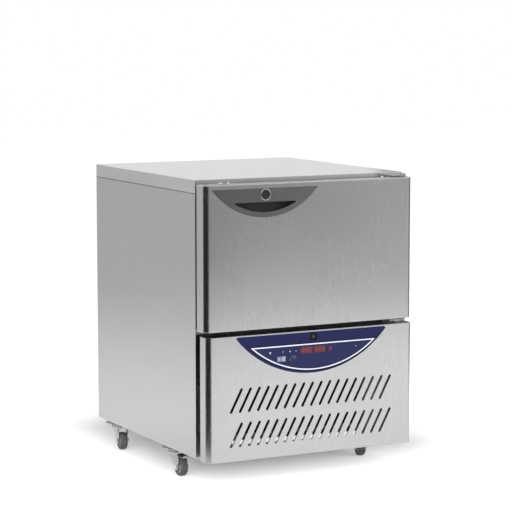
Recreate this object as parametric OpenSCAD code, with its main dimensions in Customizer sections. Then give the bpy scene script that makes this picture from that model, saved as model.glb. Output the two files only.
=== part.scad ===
// Under-counter blast chiller on castors: a reach-in chamber over a machine compartment.
// Origin: centre of the footprint, on the floor. +X is to the right as one faces the door,
// +Y runs to the back and +Z is up. Lengths are in millimetres.

/* [Overall] */
// Width over the side panels
unit_w = 620; // [590:1:680]
// Depth from the control fascia's face to the back panel
unit_d = 705; // [680:1:780]
// Height from the floor to the worktop
unit_h = 805; // [790:1:860]

/* [Cabinet] */
// Thickness of the outer steel sheet
sheet_t = 1.2; // [0.8:0.1:1.6]
// Thickness of an insulated wall, from outer face to chamber face
wall_t = 37; // [32:1:45]
// Thickness of the chamber liner
liner_t = 1; // [0.6:0.1:1.5]
// Radius of the chamber's coved corners
chamber_r = 12; // [8:1:18]
// Height of the worktop's skirt
skirt_h = 36; // [30:1:38]
// Seam between the worktop's skirt and the panels below it
seam = 1; // [0.5:0.5:2]
// Width of the side panels' folded returns
return_w = 20; // [15:1:24]
// Thickness of the front frame round the door opening
frame_t = 2; // [1.5:0.5:3]
// Height of the cross rail under the door opening
rail_h = 75; // [70:1:90]
// Insulation under the chamber floor
floor_foam = 40; // [34:1:44]
// How far the lower back panel is set in
back_inset = 22; // [20:1:30]

/* [Door] */
// Height of the door
door_h = 379; // [360:1:390]
// Thickness of the door
door_t = 46; // [40:1:52]
// Gap between door and cabinet, filled by the gasket
door_gap = 8; // [7:0.5:9]
// Drop of the door's top edge below the worktop
door_drop = 11; // [10:1:14]
// Radius of the bullnose edges of door and lower panel
bullnose_r = 15; // [10:1:18]
// Opening's top edge below the door's top edge
opening_top = 66; // [62:1:74]
// Opening's bottom edge above the door's bottom edge
opening_bottom = 40; // [38:1:48]
// Distance of the door pivot from the door's right edge
pivot_side = 18; // [17:0.5:19]
// Distance of the door pivot from the door's back face
pivot_back = 22; // [20:1:24]
// Radius of the door's hinge pins
pin_r = 5; // [4:0.5:6]
// Width of the door gasket
gasket_w = 16; // [14:1:17]
// Gasket's top edge below the door's top edge
gasket_top = 42; // [41:1:44]
// Depth of the raised field on the door's inner face
dish_h = 6; // [4:1:8]

/* [Handle and lock] */
// Centre of the handle, right of the door's centre
handle_x = -134.5; // [-140:0.5:-120]
// Handle's top edge below the door's top edge
handle_drop = 12; // [10:1:16]
// Radius of the handle's lower arc
handle_r = 196; // [180:1:210]
// Height of the handle from its top edge to the bottom of its arc
handle_h = 75.6; // [70:0.1:80]
// Width of the rim under the finger pocket
handle_rim = 13.4; // [10:0.1:16]
// Finger pocket's top edge below the handle's top edge
pocket_drop = 36; // [35:1:38]
// Depth of the finger pocket
pocket_depth = 27; // [22:1:30]
// Undercut behind the pocket's top edge
pocket_undercut = 5; // [3:1:6]
// Radius of the lock's dished bezel
lock_bezel_r = 16.5; // [14:0.5:17]
// Radius of the lock plug
plug_r = 7; // [6:0.5:8]
// Length of the lock's cam from its axis
cam_l = 26; // [24:1:27]

/* [Lower panel] */
// Depth of the lower panel's bullnose tray
panel_t = 40; // [36:1:44]
// Gap between lower panel and cabinet
panel_gap = 22; // [20:1:26]
// Inset of the lower panel from the cabinet's sides
panel_inset = 2; // [1:0.5:4]
// Gap between door and lower panel
panel_door_gap = 12.5; // [12:0.5:15]
// How far the lower panel hangs below the cabinet's base
panel_hang = 3; // [1:0.5:4]
// Louvre slots in a row
slot_count = 18; // [12:1:18]
// Distance between louvre slots
slot_pitch = 26.3; // [24:0.1:27]
// Length of a louvre slot, in parts of the field's height under the fascia
slot_part = 0.335; // [0.28:0.005:0.35]
// Width of a louvre slot
slot_w = 7; // [5:0.5:9]
// Lean of the louvre slots from the vertical
slot_lean = 28; // [15:1:32]
// Distance between the two rows of slots, in parts of the same height
row_part = 0.417; // [0.39:0.001:0.44]
// Middle of the lower row above the panel's bottom edge, in parts of the same height
low_row_part = 0.32; // [0.28:0.005:0.33]

/* [Controls] */
// Thickness of the control fascia
fascia_t = 1.5; // [1:0.1:2]
// Radius of the fascia's lower arc
fascia_r = 292; // [280:1:300]
// Height of the fascia from its top edge to the bottom of its arc
fascia_h = 108.3; // [100:0.1:112]
// Fascia's top edge below the lower panel's top edge
fascia_drop = 3.5; // [2:0.5:8]
// Radius of a push button
button_r = 4.5; // [3.5:0.5:5]
// Travel of a push button
button_travel = 0.8; // [0.5:0.1:1]
// Radius of the panel latch's face
latch_r = 11.5; // [9:0.5:12]

/* [Castors] */
// Height of a castor from the floor to the top of its plate
castor_h = 70; // [68:1:74]
// Height of the spacer pads over the castors
pad_h = 8; // [5:1:12]
// Radius of a castor wheel
wheel_r = 25; // [22:1:26]
// Width of a castor wheel
wheel_w = 20; // [16:1:22]
// Trail of a wheel behind its swivel axis
trail = 27; // [24:1:30]
// Distance of a swivel axis from the cabinet's side
castor_side = 30; // [28:1:40]
// Distance of the front swivel axes from the cabinet's front
castor_front = 180; // [150:1:200]
// Distance of the rear swivel axes from the cabinet's back
castor_back = 81.5; // [70:0.5:120]

/* [Chamber fittings] */
// Number of wire shelves
shelf_count = 3; // [3:1:3]
// Lowest runner above the chamber floor
runner_z = 36; // [30:1:45]
// Distance between runners
runner_pitch = 75; // [65:1:78]
// Depth of a wire shelf
shelf_d = 325; // [300:1:330]
// Gap between a shelf's side and its rack
shelf_gap = 5; // [4:0.5:6]
// Depth of the evaporator space behind the fan baffle
evap_space = 185; // [175:1:200]
// Radius of the evaporator fan's blades
evap_fan_r = 92; // [80:1:100]

/* [Machine compartment] */
// Room for pipes and electrical box at the condenser coil's right
cond_side = 145; // [140:1:180]
// Room between the condenser coil and the insulation above it
cond_clear = 46; // [40:1:70]
// Thickness of the condenser coil
cond_t = 40; // [30:1:45]
// Room above and below the condenser fan's blades
cond_fan_clear = 19; // [17:1:30]
// Radius of the compressor's shell
comp_r = 88; // [75:1:90]
// Room between the compressor's shell and the insulation above it
comp_clear = 129.5; // [125:0.5:160]
// Radius of the refrigerant pipes
pipe_r = 4.5; // [3:0.5:6]
// Radius of the drain pipe
drain_r = 8; // [7:0.5:9]

/* [Hidden] */
$fn = 48;

// Clearances
fit_gap = 0.1;      // between pieces that are set into each other
run_gap = 0.05;     // radial clearance of a shaft in its bore
seat_gap = 0.3;     // between a piece that slides or squeezes and its seat
cut = 1;            // overrun of a cutting tool past the face it cuts

// Levels and planes
half_w = unit_w / 2;
body_z0 = castor_h + pad_h;
panel_y0 = -unit_d / 2 + fascia_t;
panel_y1 = panel_y0 + panel_t;
body_y0 = panel_y1 + panel_gap;
body_y1 = unit_d / 2;
door_y1 = body_y0 - door_gap;
door_y0 = door_y1 - door_t;
door_z1 = unit_h - door_drop;
door_z0 = door_z1 - door_h;
skirt_z = unit_h - skirt_h;
side_z1 = skirt_z - seam;
chamber_z0 = door_z0 + opening_bottom;
chamber_z1 = door_z1 - opening_top;
chamber_w = unit_w - 2 * wall_t;
chamber_y0 = body_y0 + frame_t;
chamber_y1 = body_y1 - wall_t;
frame_z0 = chamber_z0 - rail_h;
frame_x = half_w - return_w;
foam_z0 = chamber_z0 - liner_t - floor_foam;
inner_x = half_w - sheet_t;
panel_z0 = body_z0 - panel_hang;
panel_z1 = door_z0 - panel_door_gap;
panel_x = half_w - panel_inset;
tray_top = body_z0 + 1.5;

// Door pivot and the pivot of the lower panel
pivot_x = half_w - pivot_side;
pivot_y = door_y1 - pivot_back;
sill_y = panel_y0 + 6.5;
sill_z = panel_z0 + 7;
sill_pin_r = 2.5;
ear_x = half_w - 26;
ear_t = 3;

// Hinge brackets, bushes and the folded edge of the door skin
bracket_t = 4;
leg_t = 3;
bracket_x0 = half_w - 60;
bracket_top = door_z1 + 3;
bracket_low = door_z0 - 8;
bush_r = 9;
bush_depth = 17;
door_return = 12;
gasket_edge = 18;

// Handle, lock and latch
handle_z = door_z1 - handle_drop;
handle_corner = 2;
handle_lap = 3;
handle_t = 3;
cup_wall = 2.5;
pocket_r = handle_r - handle_rim;
pocket_h = handle_h - pocket_drop - handle_rim;
lock_z = handle_z - lock_bezel_r;
bezel_y1 = door_y0 - 1;
barrel_r = plug_r + 3;
cam_t = 2;
cam_w = 12;
keeper_t = 1.5;
cam_y0 = body_y0 - keeper_t - 0.6 - cam_t;
fascia_z = panel_z1 - fascia_drop;
fascia_corner = 4;
louvre_h = fascia_z - fascia_h - panel_z0;
slot_l = slot_part * louvre_h;
row_pitch = row_part * louvre_h;
low_row_z = panel_z0 + low_row_part * louvre_h;
latch_x = 4;
latch_z = fascia_z - latch_r - 1.2;
latch_barrel_r = 8;
latch_shaft_r = 4;

// Control fascia: displays, lamp and buttons, as places from the fascia's centre and top edge
windows = [[-34, -0.5, -55, -39.2], [6, 38.7, -55, -39.2], [49.7, 58.8, -53.2, -42.7]];
buttons = [[-125.6, -47], [-87.4, -47], [-66.8, -47], [-49, -47], [131.4, -47]];
board_x = 140;
board_top = -30;
board_bottom = -64;

// Castor places: x, y and how far each fork has turned at rest
castor_x = half_w - castor_side;
castor_y0 = body_y0 + castor_front;
castor_y1 = body_y1 - castor_back;
plate_t = 2.5;
race_h = 3;
fork_t = 2.5;
fork_top = castor_h - plate_t - race_h - 0.5;
axle_r = 4;
leg_x = wheel_w / 2 + 1.5;
pedal_y = -19;
pedal_z = fork_top - fork_t - 5.5;
pedal_pin_r = 2;

// Chamber fittings
air_gap = 28;
baffle_flange = 16;
evap_motor_y = evap_space - 145;
evap_motor_r = 34;
evap_motor_depth = 48;
coil_side = 60;
coil_back = 24;
coil_depth = 54;
coil_low = 20;
coil_high = 14;
rack_t = 3;
runner_w = 18;
runner_l = shelf_d + 25;
baffle_y = chamber_y1 - evap_space;
baffle_t = 1.5;
fan_z = (chamber_z0 + chamber_z1) / 2;
shelf_half = chamber_w / 2 - rack_t - shelf_gap;
rod_r = 3;
wire_r = 1.5;
cross_r = 1.2;
shelf_y1 = baffle_y - 22;
drain_x = chamber_w / 2 - 48;
drain_y = chamber_y1 - 25;

// Machine compartment
cond_x0 = -half_w + 25;
cond_x1 = half_w - cond_side;
cond_y0 = body_y0 + 6;
cond_y1 = cond_y0 + cond_t;
cond_z0 = body_z0 + 52;
cond_z1 = foam_z0 - cond_clear;
cond_fan_x = (cond_x0 + cond_x1) / 2;
cond_fan_z = (cond_z0 + cond_z1) / 2;
cond_fan_r = (cond_z1 - cond_z0) / 2 - cond_fan_clear;
cond_pitch = 6;
cond_fin_t = 0.8;
shroud_t = 1.5;
shroud_y1 = cond_y1 + 42;
shroud_x0 = cond_x0 - 14;
shroud_x1 = cond_x1 + 12;
duct_depth = 10;
cond_motor_y = shroud_y1 + 30;
motor_r = 37;
motor_depth = 54;
comp_x = cond_x1 - 47;
comp_y = 70;
mount_h = 15;
mount_r = 12;
comp_z0 = tray_top + mount_h;
comp_h = foam_z0 - comp_clear - comp_z0;
comp_dome_r = 42;
foot_side = comp_r - 14;
stub_out = 42;
stub_top = 12;
suction_x = comp_x - 18;
suction_rise = 55;
suction_run = 110;
bend_r = 14;
rise = 30;
tail = 40;
out_x = cond_x1 + 34;
line_y = cond_y0 + 8;
drier_r = 12;
drier_l = 90;
drier_y = cond_y1 + 60;
drier_z = cond_z0 + 30;
box_x0 = half_w - 92;
box_x1 = half_w - 10;
box_y0 = body_y0 + 40;
box_y1 = box_y0 + 150;
box_z1 = tray_top + 170;
box_lid = 14;
gland_x = -half_w + 80;
gland_z = body_z0 + 55;
gland_r = 8;

steel = [0.72, 0.73, 0.74];
dark_grey = [0.27, 0.28, 0.29];

// ---------- Shared shapes ----------

// A block from its lowest to its highest corner
module block(low, high) {
    translate(low) cube(high - low);
}

// Stands a drawing up in the XZ plane and gives it depth from y0 to y1
module upright(y0, y1) {
    translate([0, y1, 0]) rotate([90, 0, 0]) linear_extrude(y1 - y0) children();
}

// Stands a drawing of Y and Z up and gives it width from x0 to x1
module sideways(x0, x1) {
    translate([x0, 0, 0]) rotate([90, 0, 90]) linear_extrude(x1 - x0) children();
}

// Turns a profile of radius and Y about an axis that runs front to back
module turned_y(x, z) {
    translate([x, 0, z]) rotate([-90, 0, 0]) rotate_extrude() children();
}

// Turns a profile of radius and X about an axis that runs left to right
module turned_x(y, z) {
    translate([0, y, z]) rotate([0, 90, 0]) rotate_extrude() children();
}

// A rectangle from corner to corner
module rect(low, high) {
    translate(low) square(high - low);
}

// A rectangle with round corners
module rounded_rect(low, high, r) {
    rect([low[0] + r, low[1]], [high[0] - r, high[1]]);
    rect([low[0], low[1] + r], [high[0], high[1] - r]);
    for (x = [low[0] + r, high[0] - r], y = [low[1] + r, high[1] - r])
        translate([x, y]) circle(r);
}

// A flat ring of straight bars inside a rectangle
module bar_ring(low, high, w) {
    difference() {
        rect(low, high);
        rect(low + [w, w], high - [w, w]);
    }
}

// Plan of a panel with two round front edges, from y0 at the front to y1
module bullnose(half, y0, y1, r) {
    rect([-half + r, y0], [half - r, y1]);
    rect([-half, y0 + r], [half, y1]);
    for (x = [-half + r, half - r])
        translate([x, y0 + r]) circle(r);
}

// A flat-topped segment of a circle: top edge on y = 0, depth h, sharp corners
module sharp_segment(r, h) {
    intersection() {
        translate([0, r - h]) circle(r);
        rect([-r, -h - 1], [r, 0]);
    }
}

// The same with round corners
module segment(r, h, corner) {
    centre = r - h;
    down = centre + corner;
    side = sqrt(pow(r - corner, 2) - pow(down, 2));
    intersection() {
        translate([0, centre]) circle(r);
        polygon([[-side, -corner], [side, -corner],
                 [3 * side, centre - 3 * down], [-3 * side, centre - 3 * down]]);
    }
    rect([-side, -corner], [side, 0]);
    for (x = [-side, side])
        translate([x, -corner]) circle(corner);
}

// A slot with round ends, centred, along Y
module stadium(l, w) {
    rect([-w / 2, -l / 2 + w / 2], [w / 2, l / 2 - w / 2]);
    for (y = [-l / 2 + w / 2, l / 2 - w / 2])
        translate([0, y]) circle(w / 2);
}

// A screw head that faces the front
module front_screw(x, y, z, r, h) {
    turned_y(x, z) polygon([[0, y], [r, y], [r, y - h / 2], [r * 0.6, y - h], [0, y - h]]);
}

// Section of the chamber across X and Z, widened by g
module chamber_section(g) {
    rounded_rect([-chamber_w / 2 - g, chamber_z0 - g], [chamber_w / 2 + g, chamber_z1 + g],
                 chamber_r + g);
}

// A comb of thin fins across x0 to x1, seen from above; the spine that joins them reaches
// 1 mm into the end plates
module fin_comb(x0, x1, y0, y1, pitch, fin_t) {
    count = floor((x1 - x0) / pitch);
    start = (x0 + x1 - count * pitch) / 2;
    middle = (y0 + y1) / 2;
    rect([x0 - 1, middle - 2], [x1 + 1, middle + 2]);
    for (i = [0 : count])
        rect([start + i * pitch - fin_t / 2, y0], [start + i * pitch + fin_t / 2, y1]);
}

// U-bends between the rows of a coil, on the plane x, bulging towards side
module u_bends(x, y, z0, z1, count, r, side) {
    pitch = (z1 - z0) / count;
    for (i = [0 : count - 1])
        translate([x, y, z0 + pitch * (i + 0.5)])
            rotate([90, side > 0 ? 0 : 180, 0])
                rotate([0, 0, -90])
                    rotate_extrude(angle = 180)
                        translate([pitch / 4, 0]) circle(r);
}

// A straight bar of round section between two points of one axis direction
module rod(from, to, r) {
    run = to - from;
    turn = run[0] != 0 ? [0, 90, 0] : run[1] != 0 ? [-90, 0, 0] : [0, 0, 0];
    low = [min(from[0], to[0]), min(from[1], to[1]), min(from[2], to[2])];
    translate(low) rotate(turn) cylinder(r = r, h = norm(run));
}

// A pipe along a route whose legs run along X, Y or Z, with bends of one radius
module pipe(route, r, bend) {
    last = len(route) - 1;
    way = [for (i = [0 : last - 1]) (route[i + 1] - route[i]) / norm(route[i + 1] - route[i])];
    for (i = [0 : last - 1])
        rod(route[i] + way[i] * (i == 0 ? 0 : bend),
            route[i + 1] - way[i] * (i == last - 1 ? 0 : bend), r);
    for (i = [1 : last - 1]) {
        u = way[i - 1];
        v = way[i];
        w = cross(u, v);
        c = route[i] - bend * u + bend * v;
        multmatrix([[-v[0], u[0], w[0], c[0]], [-v[1], u[1], w[1], c[1]],
                    [-v[2], u[2], w[2], c[2]], [0, 0, 0, 1]])
            rotate_extrude(angle = 90) translate([bend, 0]) circle(r);
    }
}

// Fan blades on a hub that turns about Y, front face at y0
module fan_blades(x, y0, z, r, hub_r, depth, count, pitch_angle, bore) {
    difference() {
        union() {
            turned_y(x, z) rect([0, y0], [hub_r, y0 + depth]);
            for (i = [0 : count - 1])
                translate([x, y0 + depth / 2, z])
                    rotate([0, i * 360 / count, 0])
                        rotate([pitch_angle, 0, 0])
                            upright(-1, 1) fan_blade_outline(r, hub_r);
        }
        turned_y(x, z) rect([0, y0 + 3], [bore, y0 + depth + cut]);
    }
}

// One blade, broader towards its round tip, along +X
module fan_blade_outline(r, hub_r) {
    tip = r * 0.30;
    polygon([[hub_r * 0.6, -hub_r * 0.35], [r - tip, -tip], [r - tip, tip],
             [hub_r * 0.6, hub_r * 0.35]]);
    intersection() {
        translate([r - tip, 0]) circle(tip);
        rect([r - tip - 0.01, -tip], [r, tip]);
    }
}

// ---------- Cabinet ----------

module worktop() color(steel) {
    difference() {
        block([-half_w, body_y0, skirt_z], [half_w, body_y1, unit_h]);
        block([-inner_x, body_y0 + sheet_t, skirt_z - cut],
              [inner_x, body_y1 - sheet_t, unit_h - sheet_t]);
    }
}

// A side panel: outer sheet with a return at the front and one at the back
module side_panel(side) color(steel) {
    translate([0, 0, body_z0]) linear_extrude(side_z1 - body_z0)
        mirror([side < 0 ? 1 : 0, 0]) {
            rect([inner_x, body_y0], [half_w, body_y1 - sheet_t]);
            rect([half_w - return_w, body_y0], [half_w, body_y0 + sheet_t]);
            rect([half_w - return_w, body_y1 - 2 * sheet_t], [half_w, body_y1 - sheet_t]);
        }
}

module left_side_panel() side_panel(-1);
module right_side_panel() side_panel(1);

// The back: flat over the chamber, stepped in with air slots over the machine compartment
module back_panel() color(steel) {
    step_z = foam_z0 - 6;
    low_y = body_y1 - back_inset;
    difference() {
        union() {
            sideways(-half_w, half_w)
                rect([body_y1 - sheet_t, step_z], [body_y1, side_z1]);
            sideways(-frame_x + fit_gap, frame_x - fit_gap) {
                rect([low_y, step_z], [body_y1 - sheet_t, step_z + sheet_t]);
                rect([low_y, tray_top], [low_y + sheet_t, step_z + sheet_t]);
            }
            for (side = [-1, 1])
                mirror([side < 0 ? 1 : 0, 0, 0]) {
                    block([frame_x - fit_gap - sheet_t, low_y, tray_top],
                          [frame_x - fit_gap, body_y1, step_z]);
                    block([frame_x - fit_gap - sheet_t, body_y1 - sheet_t, body_z0],
                          [half_w, body_y1, step_z]);
                }
        }
        for (row = [0 : 1], i = [-5.5 : 5.5])
            translate([i * 34, 0, body_z0 + 150 + row * 90])
                upright(low_y - cut, low_y + sheet_t + cut) stadium(70, 8);
        turned_y(gland_x, gland_z) rect([0, low_y - cut], [gland_r + fit_gap, low_y + 5]);
    }
}

// Floor of the machine compartment with its upstands, castor pads and the ears that carry
// the lower panel's pivot pins
module base_tray() color(steel) {
    x = inner_x;
    back = body_y1 - 2 * sheet_t - fit_gap;
    lip = 20;
    difference() {
        union() {
            block([-x, body_y0 + sheet_t, body_z0], [x, back, tray_top]);
            for (s = [-1, 1]) {
                block([min(s * x, s * (x - sheet_t)), body_y0 + sheet_t, body_z0],
                      [max(s * x, s * (x - sheet_t)), back, body_z0 + lip]);
                for (y = [castor_y0, castor_y1])
                    translate([s * castor_x, y, castor_h]) linear_extrude(pad_h)
                        rounded_rect([-19, -42], [19, 42], 5);
            }
            block([-frame_x + fit_gap, body_y0, body_z0],
                  [frame_x - fit_gap, body_y0 + sheet_t, body_z0 + lip + 6]);
            for (s = [-1, 1])
                sideways(s * (ear_x + ear_t / 2) - ear_t / 2, s * (ear_x + ear_t / 2) + ear_t / 2)
                    panel_ear();
        }
        for (s = [-1, 1])
            turned_x(sill_y, sill_z)
                rect([0, s * ear_x - 10], [sill_pin_r + 0.02, s * ear_x + 10]);
        translate([drain_x, drain_y, 0]) cylinder(r = drain_r + 3, h = tray_top + cut);
    }
}

// Outline of an ear: from the tray's front upstand forward to the pivot
module panel_ear() {
    translate([sill_y, sill_z]) circle(4.8);
    polygon([[sill_y, sill_z - 4], [body_y0 + sheet_t, sill_z - 4],
             [body_y0 + sheet_t, sill_z + 18], [panel_y1 + 4, sill_z + 18],
             [sill_y, sill_z + 4.8]]);
}

module cabinet_insulation() color([0.93, 0.88, 0.68]) {
    g = fit_gap;
    difference() {
        block([-inner_x + g, chamber_y0 + g, foam_z0],
              [inner_x - g, body_y1 - 2 * sheet_t - g, unit_h - sheet_t - g]);
        upright(chamber_y0 - cut, chamber_y1 + liner_t + g) chamber_section(liner_t + g);
        translate([drain_x, drain_y, foam_z0 - cut])
            cylinder(r = drain_r + g, h = floor_foam + 2 * cut + liner_t);
    }
}

module chamber_liner() color([0.8, 0.81, 0.82]) {
    difference() {
        upright(chamber_y0, chamber_y1 + liner_t) chamber_section(liner_t);
        upright(chamber_y0 - cut, chamber_y1) chamber_section(0);
        translate([drain_x, drain_y, chamber_z0 - liner_t - cut])
            cylinder(r = drain_r + fit_gap, h = liner_t + 2 * cut);
    }
}

// Flat frame that the gasket seals on; its lower bar is the cross rail
module front_frame() color(steel) {
    upright(body_y0, chamber_y0)
        difference() {
            rect([-frame_x, frame_z0], [frame_x, side_z1]);
            chamber_section(0);
        }
}

// Z-shaped strikes that the turned cams hook behind, for the door and the lower panel
module lock_keepers() color([0.8, 0.8, 0.82]) {
    keeper(handle_x, lock_z, 10);
    keeper(latch_x, latch_z + 1, 7.5);
}

// One strike: base plate on the cabinet's front, riser and lip, left of the cam's axis
module keeper(x, z, half_h) {
    lip_y = cam_y0 - 0.7 - keeper_t;
    riser_x = x - cam_l - 3;
    block([riser_x - 22, body_y0 - keeper_t, z - half_h], [riser_x, body_y0, z + half_h]);
    block([riser_x - keeper_t, lip_y, z - half_h], [riser_x, body_y0, z + half_h]);
    block([riser_x - keeper_t, lip_y, z - half_h],
          [x - cam_l + 10, lip_y + keeper_t, z + half_h]);
}

// The door's two hinge brackets: a tongue forward over the pivot, a leg on the cabinet
module hinge_brackets() color([0.82, 0.83, 0.84]) {
    hinge_bracket(bracket_top, door_z1 - gasket_top + 5);
    hinge_bracket(bracket_low, frame_z0 + 3);
}

// One bracket: tongue from z up, leg down to leg_z
module hinge_bracket(z, leg_z) {
    difference() {
        union() {
            translate([0, 0, z]) linear_extrude(bracket_t) {
                rect([bracket_x0, pivot_y], [pivot_x, body_y0]);
                rect([pivot_x - cut, pivot_y], [pivot_x + 10, body_y0]);
                rect([bracket_x0 + 8, pivot_y - 10.5], [pivot_x, pivot_y + cut]);
                translate([bracket_x0 + 8, pivot_y - 2.5]) circle(8);
                translate([pivot_x, pivot_y]) circle(10.5);
            }
            block([bracket_x0, body_y0 - leg_t, leg_z],
                  [pivot_x - 14, body_y0, z + bracket_t]);
        }
        translate([pivot_x, pivot_y, z - cut])
            cylinder(r = pin_r + 0.02, h = bracket_t + 2 * cut);
    }
}

// Pins of the door hinges and of the lower panel
module hinge_pins() color([0.75, 0.75, 0.77]) {
    reach = bush_depth - 4;
    top = bracket_top + bracket_t;
    translate([pivot_x, pivot_y, 0]) {
        translate([0, 0, door_z1 - reach]) cylinder(r = pin_r, h = top - door_z1 + reach);
        translate([0, 0, top]) cylinder(r = pin_r + 3, h = 2.5);
        translate([0, 0, bracket_low]) cylinder(r = pin_r, h = door_z0 - bracket_low + reach);
        translate([0, 0, bracket_low - 2]) cylinder(r = pin_r + 3, h = 2);
    }
    for (s = [-1, 1])
        turned_x(sill_y, sill_z)
            rect([0, min(s * (ear_x - 1.5), s * (ear_x + 10.5))],
                 [sill_pin_r, max(s * (ear_x - 1.5), s * (ear_x + 10.5))]);
}

// Heads of the screws that hold the hinge brackets and the keepers
module cabinet_screws() color([0.7, 0.7, 0.72]) {
    leg_y = body_y0 - leg_t;
    for (z = [door_z1 - 28, door_z1 - 10])
        front_screw(bracket_x0 + 15, leg_y, z, 4, 2);
    for (z = [frame_z0 + 9, frame_z0 + 21])
        front_screw(bracket_x0 + 15, leg_y, z, 4, 2);
    for (z = [lock_z - 6, lock_z + 6])
        front_screw(handle_x - cam_l - 15, body_y0 - keeper_t, z, 3, 1.5);
    for (z = [latch_z - 6, latch_z + 5])
        front_screw(latch_x - cam_l - 15, body_y0 - keeper_t, z, 3, 1.5);
    for (x = [-castor_x, castor_x], y = [castor_y0, castor_y1], i = [-15, 15], j = [-36, 36])
        translate([x + i, y + j, castor_h - plate_t - 3])
            cylinder(r = 6, h = 3, $fn = 6);
}

// ---------- Chamber fittings ----------

// Two racks: uprights on the chamber walls with a runner for each shelf
module tray_racks() color([0.8, 0.81, 0.82]) {
    wall = chamber_w / 2;
    y1 = shelf_y1 + 8;
    for (s = [-1, 1])
        mirror([s < 0 ? 1 : 0, 0, 0]) {
            for (y = [y1 - runner_l + 20, y1 - 40])
                block([wall - rack_t, y, chamber_z0 + chamber_r],
                      [wall, y + 20, chamber_z1 - chamber_r]);
            for (i = [0 : shelf_count - 1])
                sideways_runner(wall, chamber_z0 + runner_z + i * runner_pitch, y1);
        }
}

// One angle runner: a flange for the shelf's edge and an upstand against the uprights
module sideways_runner(wall, z, y1) {
    block([wall - rack_t - runner_w, y1 - runner_l, z - 1.5], [wall - rack_t, y1, z]);
    block([wall - rack_t - 1.5, y1 - runner_l, z - 1.5], [wall - rack_t, y1, z + 16]);
    block([wall - rack_t - runner_w, y1 - 1.5, z - 1.5], [wall - rack_t, y1, z + 10]);
}

module wire_shelf(level) color([0.85, 0.86, 0.87]) {
    z = chamber_z0 + runner_z + (level - 1) * runner_pitch + rod_r + seat_gap;
    y0 = shelf_y1 - shelf_d + rod_r;
    y1 = shelf_y1 - rod_r;
    x = shelf_half - rod_r;
    corner = 10;
    count = 19;
    for (s = [-1, 1]) {
        rod([s * x, y0 + corner, z], [s * x, y1 - corner, z], rod_r);
        rod([-x + corner, s < 0 ? y0 : y1, z], [x - corner, s < 0 ? y0 : y1, z], rod_r);
        for (t = [-1, 1])
            translate([s * (x - corner), t < 0 ? y0 + corner : y1 - corner, z])
                rotate([0, 0, s > 0 ? (t > 0 ? 0 : -90) : (t > 0 ? 90 : 180)])
                    rotate_extrude(angle = 90) translate([corner, 0]) circle(rod_r);
    }
    for (i = [1 : count])
        rod([-x + i * 2 * x / (count + 1), y0, z], [-x + i * 2 * x / (count + 1), y1, z], wire_r);
    rod([-x, (y0 + y1) / 2, z - wire_r], [x, (y0 + y1) / 2, z - wire_r], cross_r);
}

module wire_shelf_1() wire_shelf(1);
module wire_shelf_2() wire_shelf(2);
module wire_shelf_3() wire_shelf(3);

// Sheet between tray space and evaporator, with a flange, a fan opening and its wire guard
module fan_baffle() color([0.8, 0.81, 0.82]) {
    ring_r = evap_fan_r + 8;
    gap_z = chamber_z0 + air_gap;
    guard_y = baffle_y - wire_r / 2;
    flange_y = baffle_y + baffle_flange;
    difference() {
        upright(baffle_y, flange_y) baffle_section(0, gap_z);
        upright(baffle_y + baffle_t, flange_y + cut) baffle_section(baffle_t, gap_z - 2 * cut);
        turned_y(0, fan_z) rect([0, baffle_y - cut], [ring_r, baffle_y + baffle_t + cut]);
    }
    for (i = [1 : 5])
        turned_y(0, fan_z) translate([i * ring_r / 5.5, guard_y]) circle(wire_r);
    for (a = [45, 135])
        translate([0, guard_y, fan_z]) rotate([0, a, 0])
            translate([-ring_r - 6, 0, 0]) rotate([0, 90, 0])
                cylinder(r = wire_r, h = 2 * ring_r + 12);
}

// Chamber section inset by g, without the air gap at the floor
module baffle_section(g, gap_z) {
    intersection() {
        chamber_section(-g);
        rect([-chamber_w, gap_z], [chamber_w, chamber_z1 + cut]);
    }
}

// Motor on a three-armed carrier that stands on the baffle
module evaporator_fan_motor() color(dark_grey) {
    y = baffle_y + evap_motor_y;
    r = evap_motor_r;
    back = y + evap_motor_depth;
    arm_r = evap_fan_r + 16;
    turned_y(0, fan_z)
        polygon([[0, y], [r - 4, y], [r, y + 6], [r, back - 8], [r - 10, back], [0, back]]);
    turned_y(0, fan_z) rect([0, y - 14], [4, y + 1]);
    for (a = [30, 150, 270])
        translate([0, 0, fan_z]) rotate([0, a, 0]) {
            block([r - 6, y + 4, -5], [arm_r, y + 8, 5]);
            block([arm_r - 6, baffle_y + baffle_t, -5], [arm_r, y + 8, 5]);
        }
}

module evaporator_fan_blade() color([0.55, 0.56, 0.58]) {
    fan_blades(0, baffle_y + 8, fan_z, evap_fan_r, 24, 26, 5, 20, 4 + run_gap);
}

// Finned coil with end plates that stand on the chamber's back wall
module evaporator_coil() color([0.78, 0.8, 0.82]) {
    x = chamber_w / 2 - coil_side;
    y1 = chamber_y1 - coil_back;
    y0 = y1 - coil_depth;
    z0 = chamber_z0 + coil_low;
    z1 = chamber_z1 - coil_high;
    translate([0, 0, z0]) linear_extrude(z1 - z0) fin_comb(-x, x, y0, y1, 7, 1);
    for (s = [-1, 1]) {
        block([min(s * x, s * (x + 2)), y0 - 3, z0 - 4],
              [max(s * x, s * (x + 2)), chamber_y1, z1 + 4]);
        u_bends(s * (x + 2), (y0 + y1) / 2, z0 + 6, z1 - 6, 5, 5, s);
    }
}

// Drain from the chamber floor through the insulation and the base
module drain_pipe() color([0.86, 0.86, 0.84]) {
    stub_z = body_z0 - 20;
    translate([drain_x, drain_y, 0])
        rotate_extrude()
            polygon([[drain_r - 2, stub_z], [drain_r + 1, stub_z], [drain_r + 1, stub_z + 18],
                     [drain_r, stub_z + 18], [drain_r, chamber_z0], [drain_r + 6, chamber_z0],
                     [drain_r + 6, chamber_z0 + 1.5], [drain_r - 2, chamber_z0 + 1.5]]);
}

// ---------- Machine compartment ----------

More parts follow.
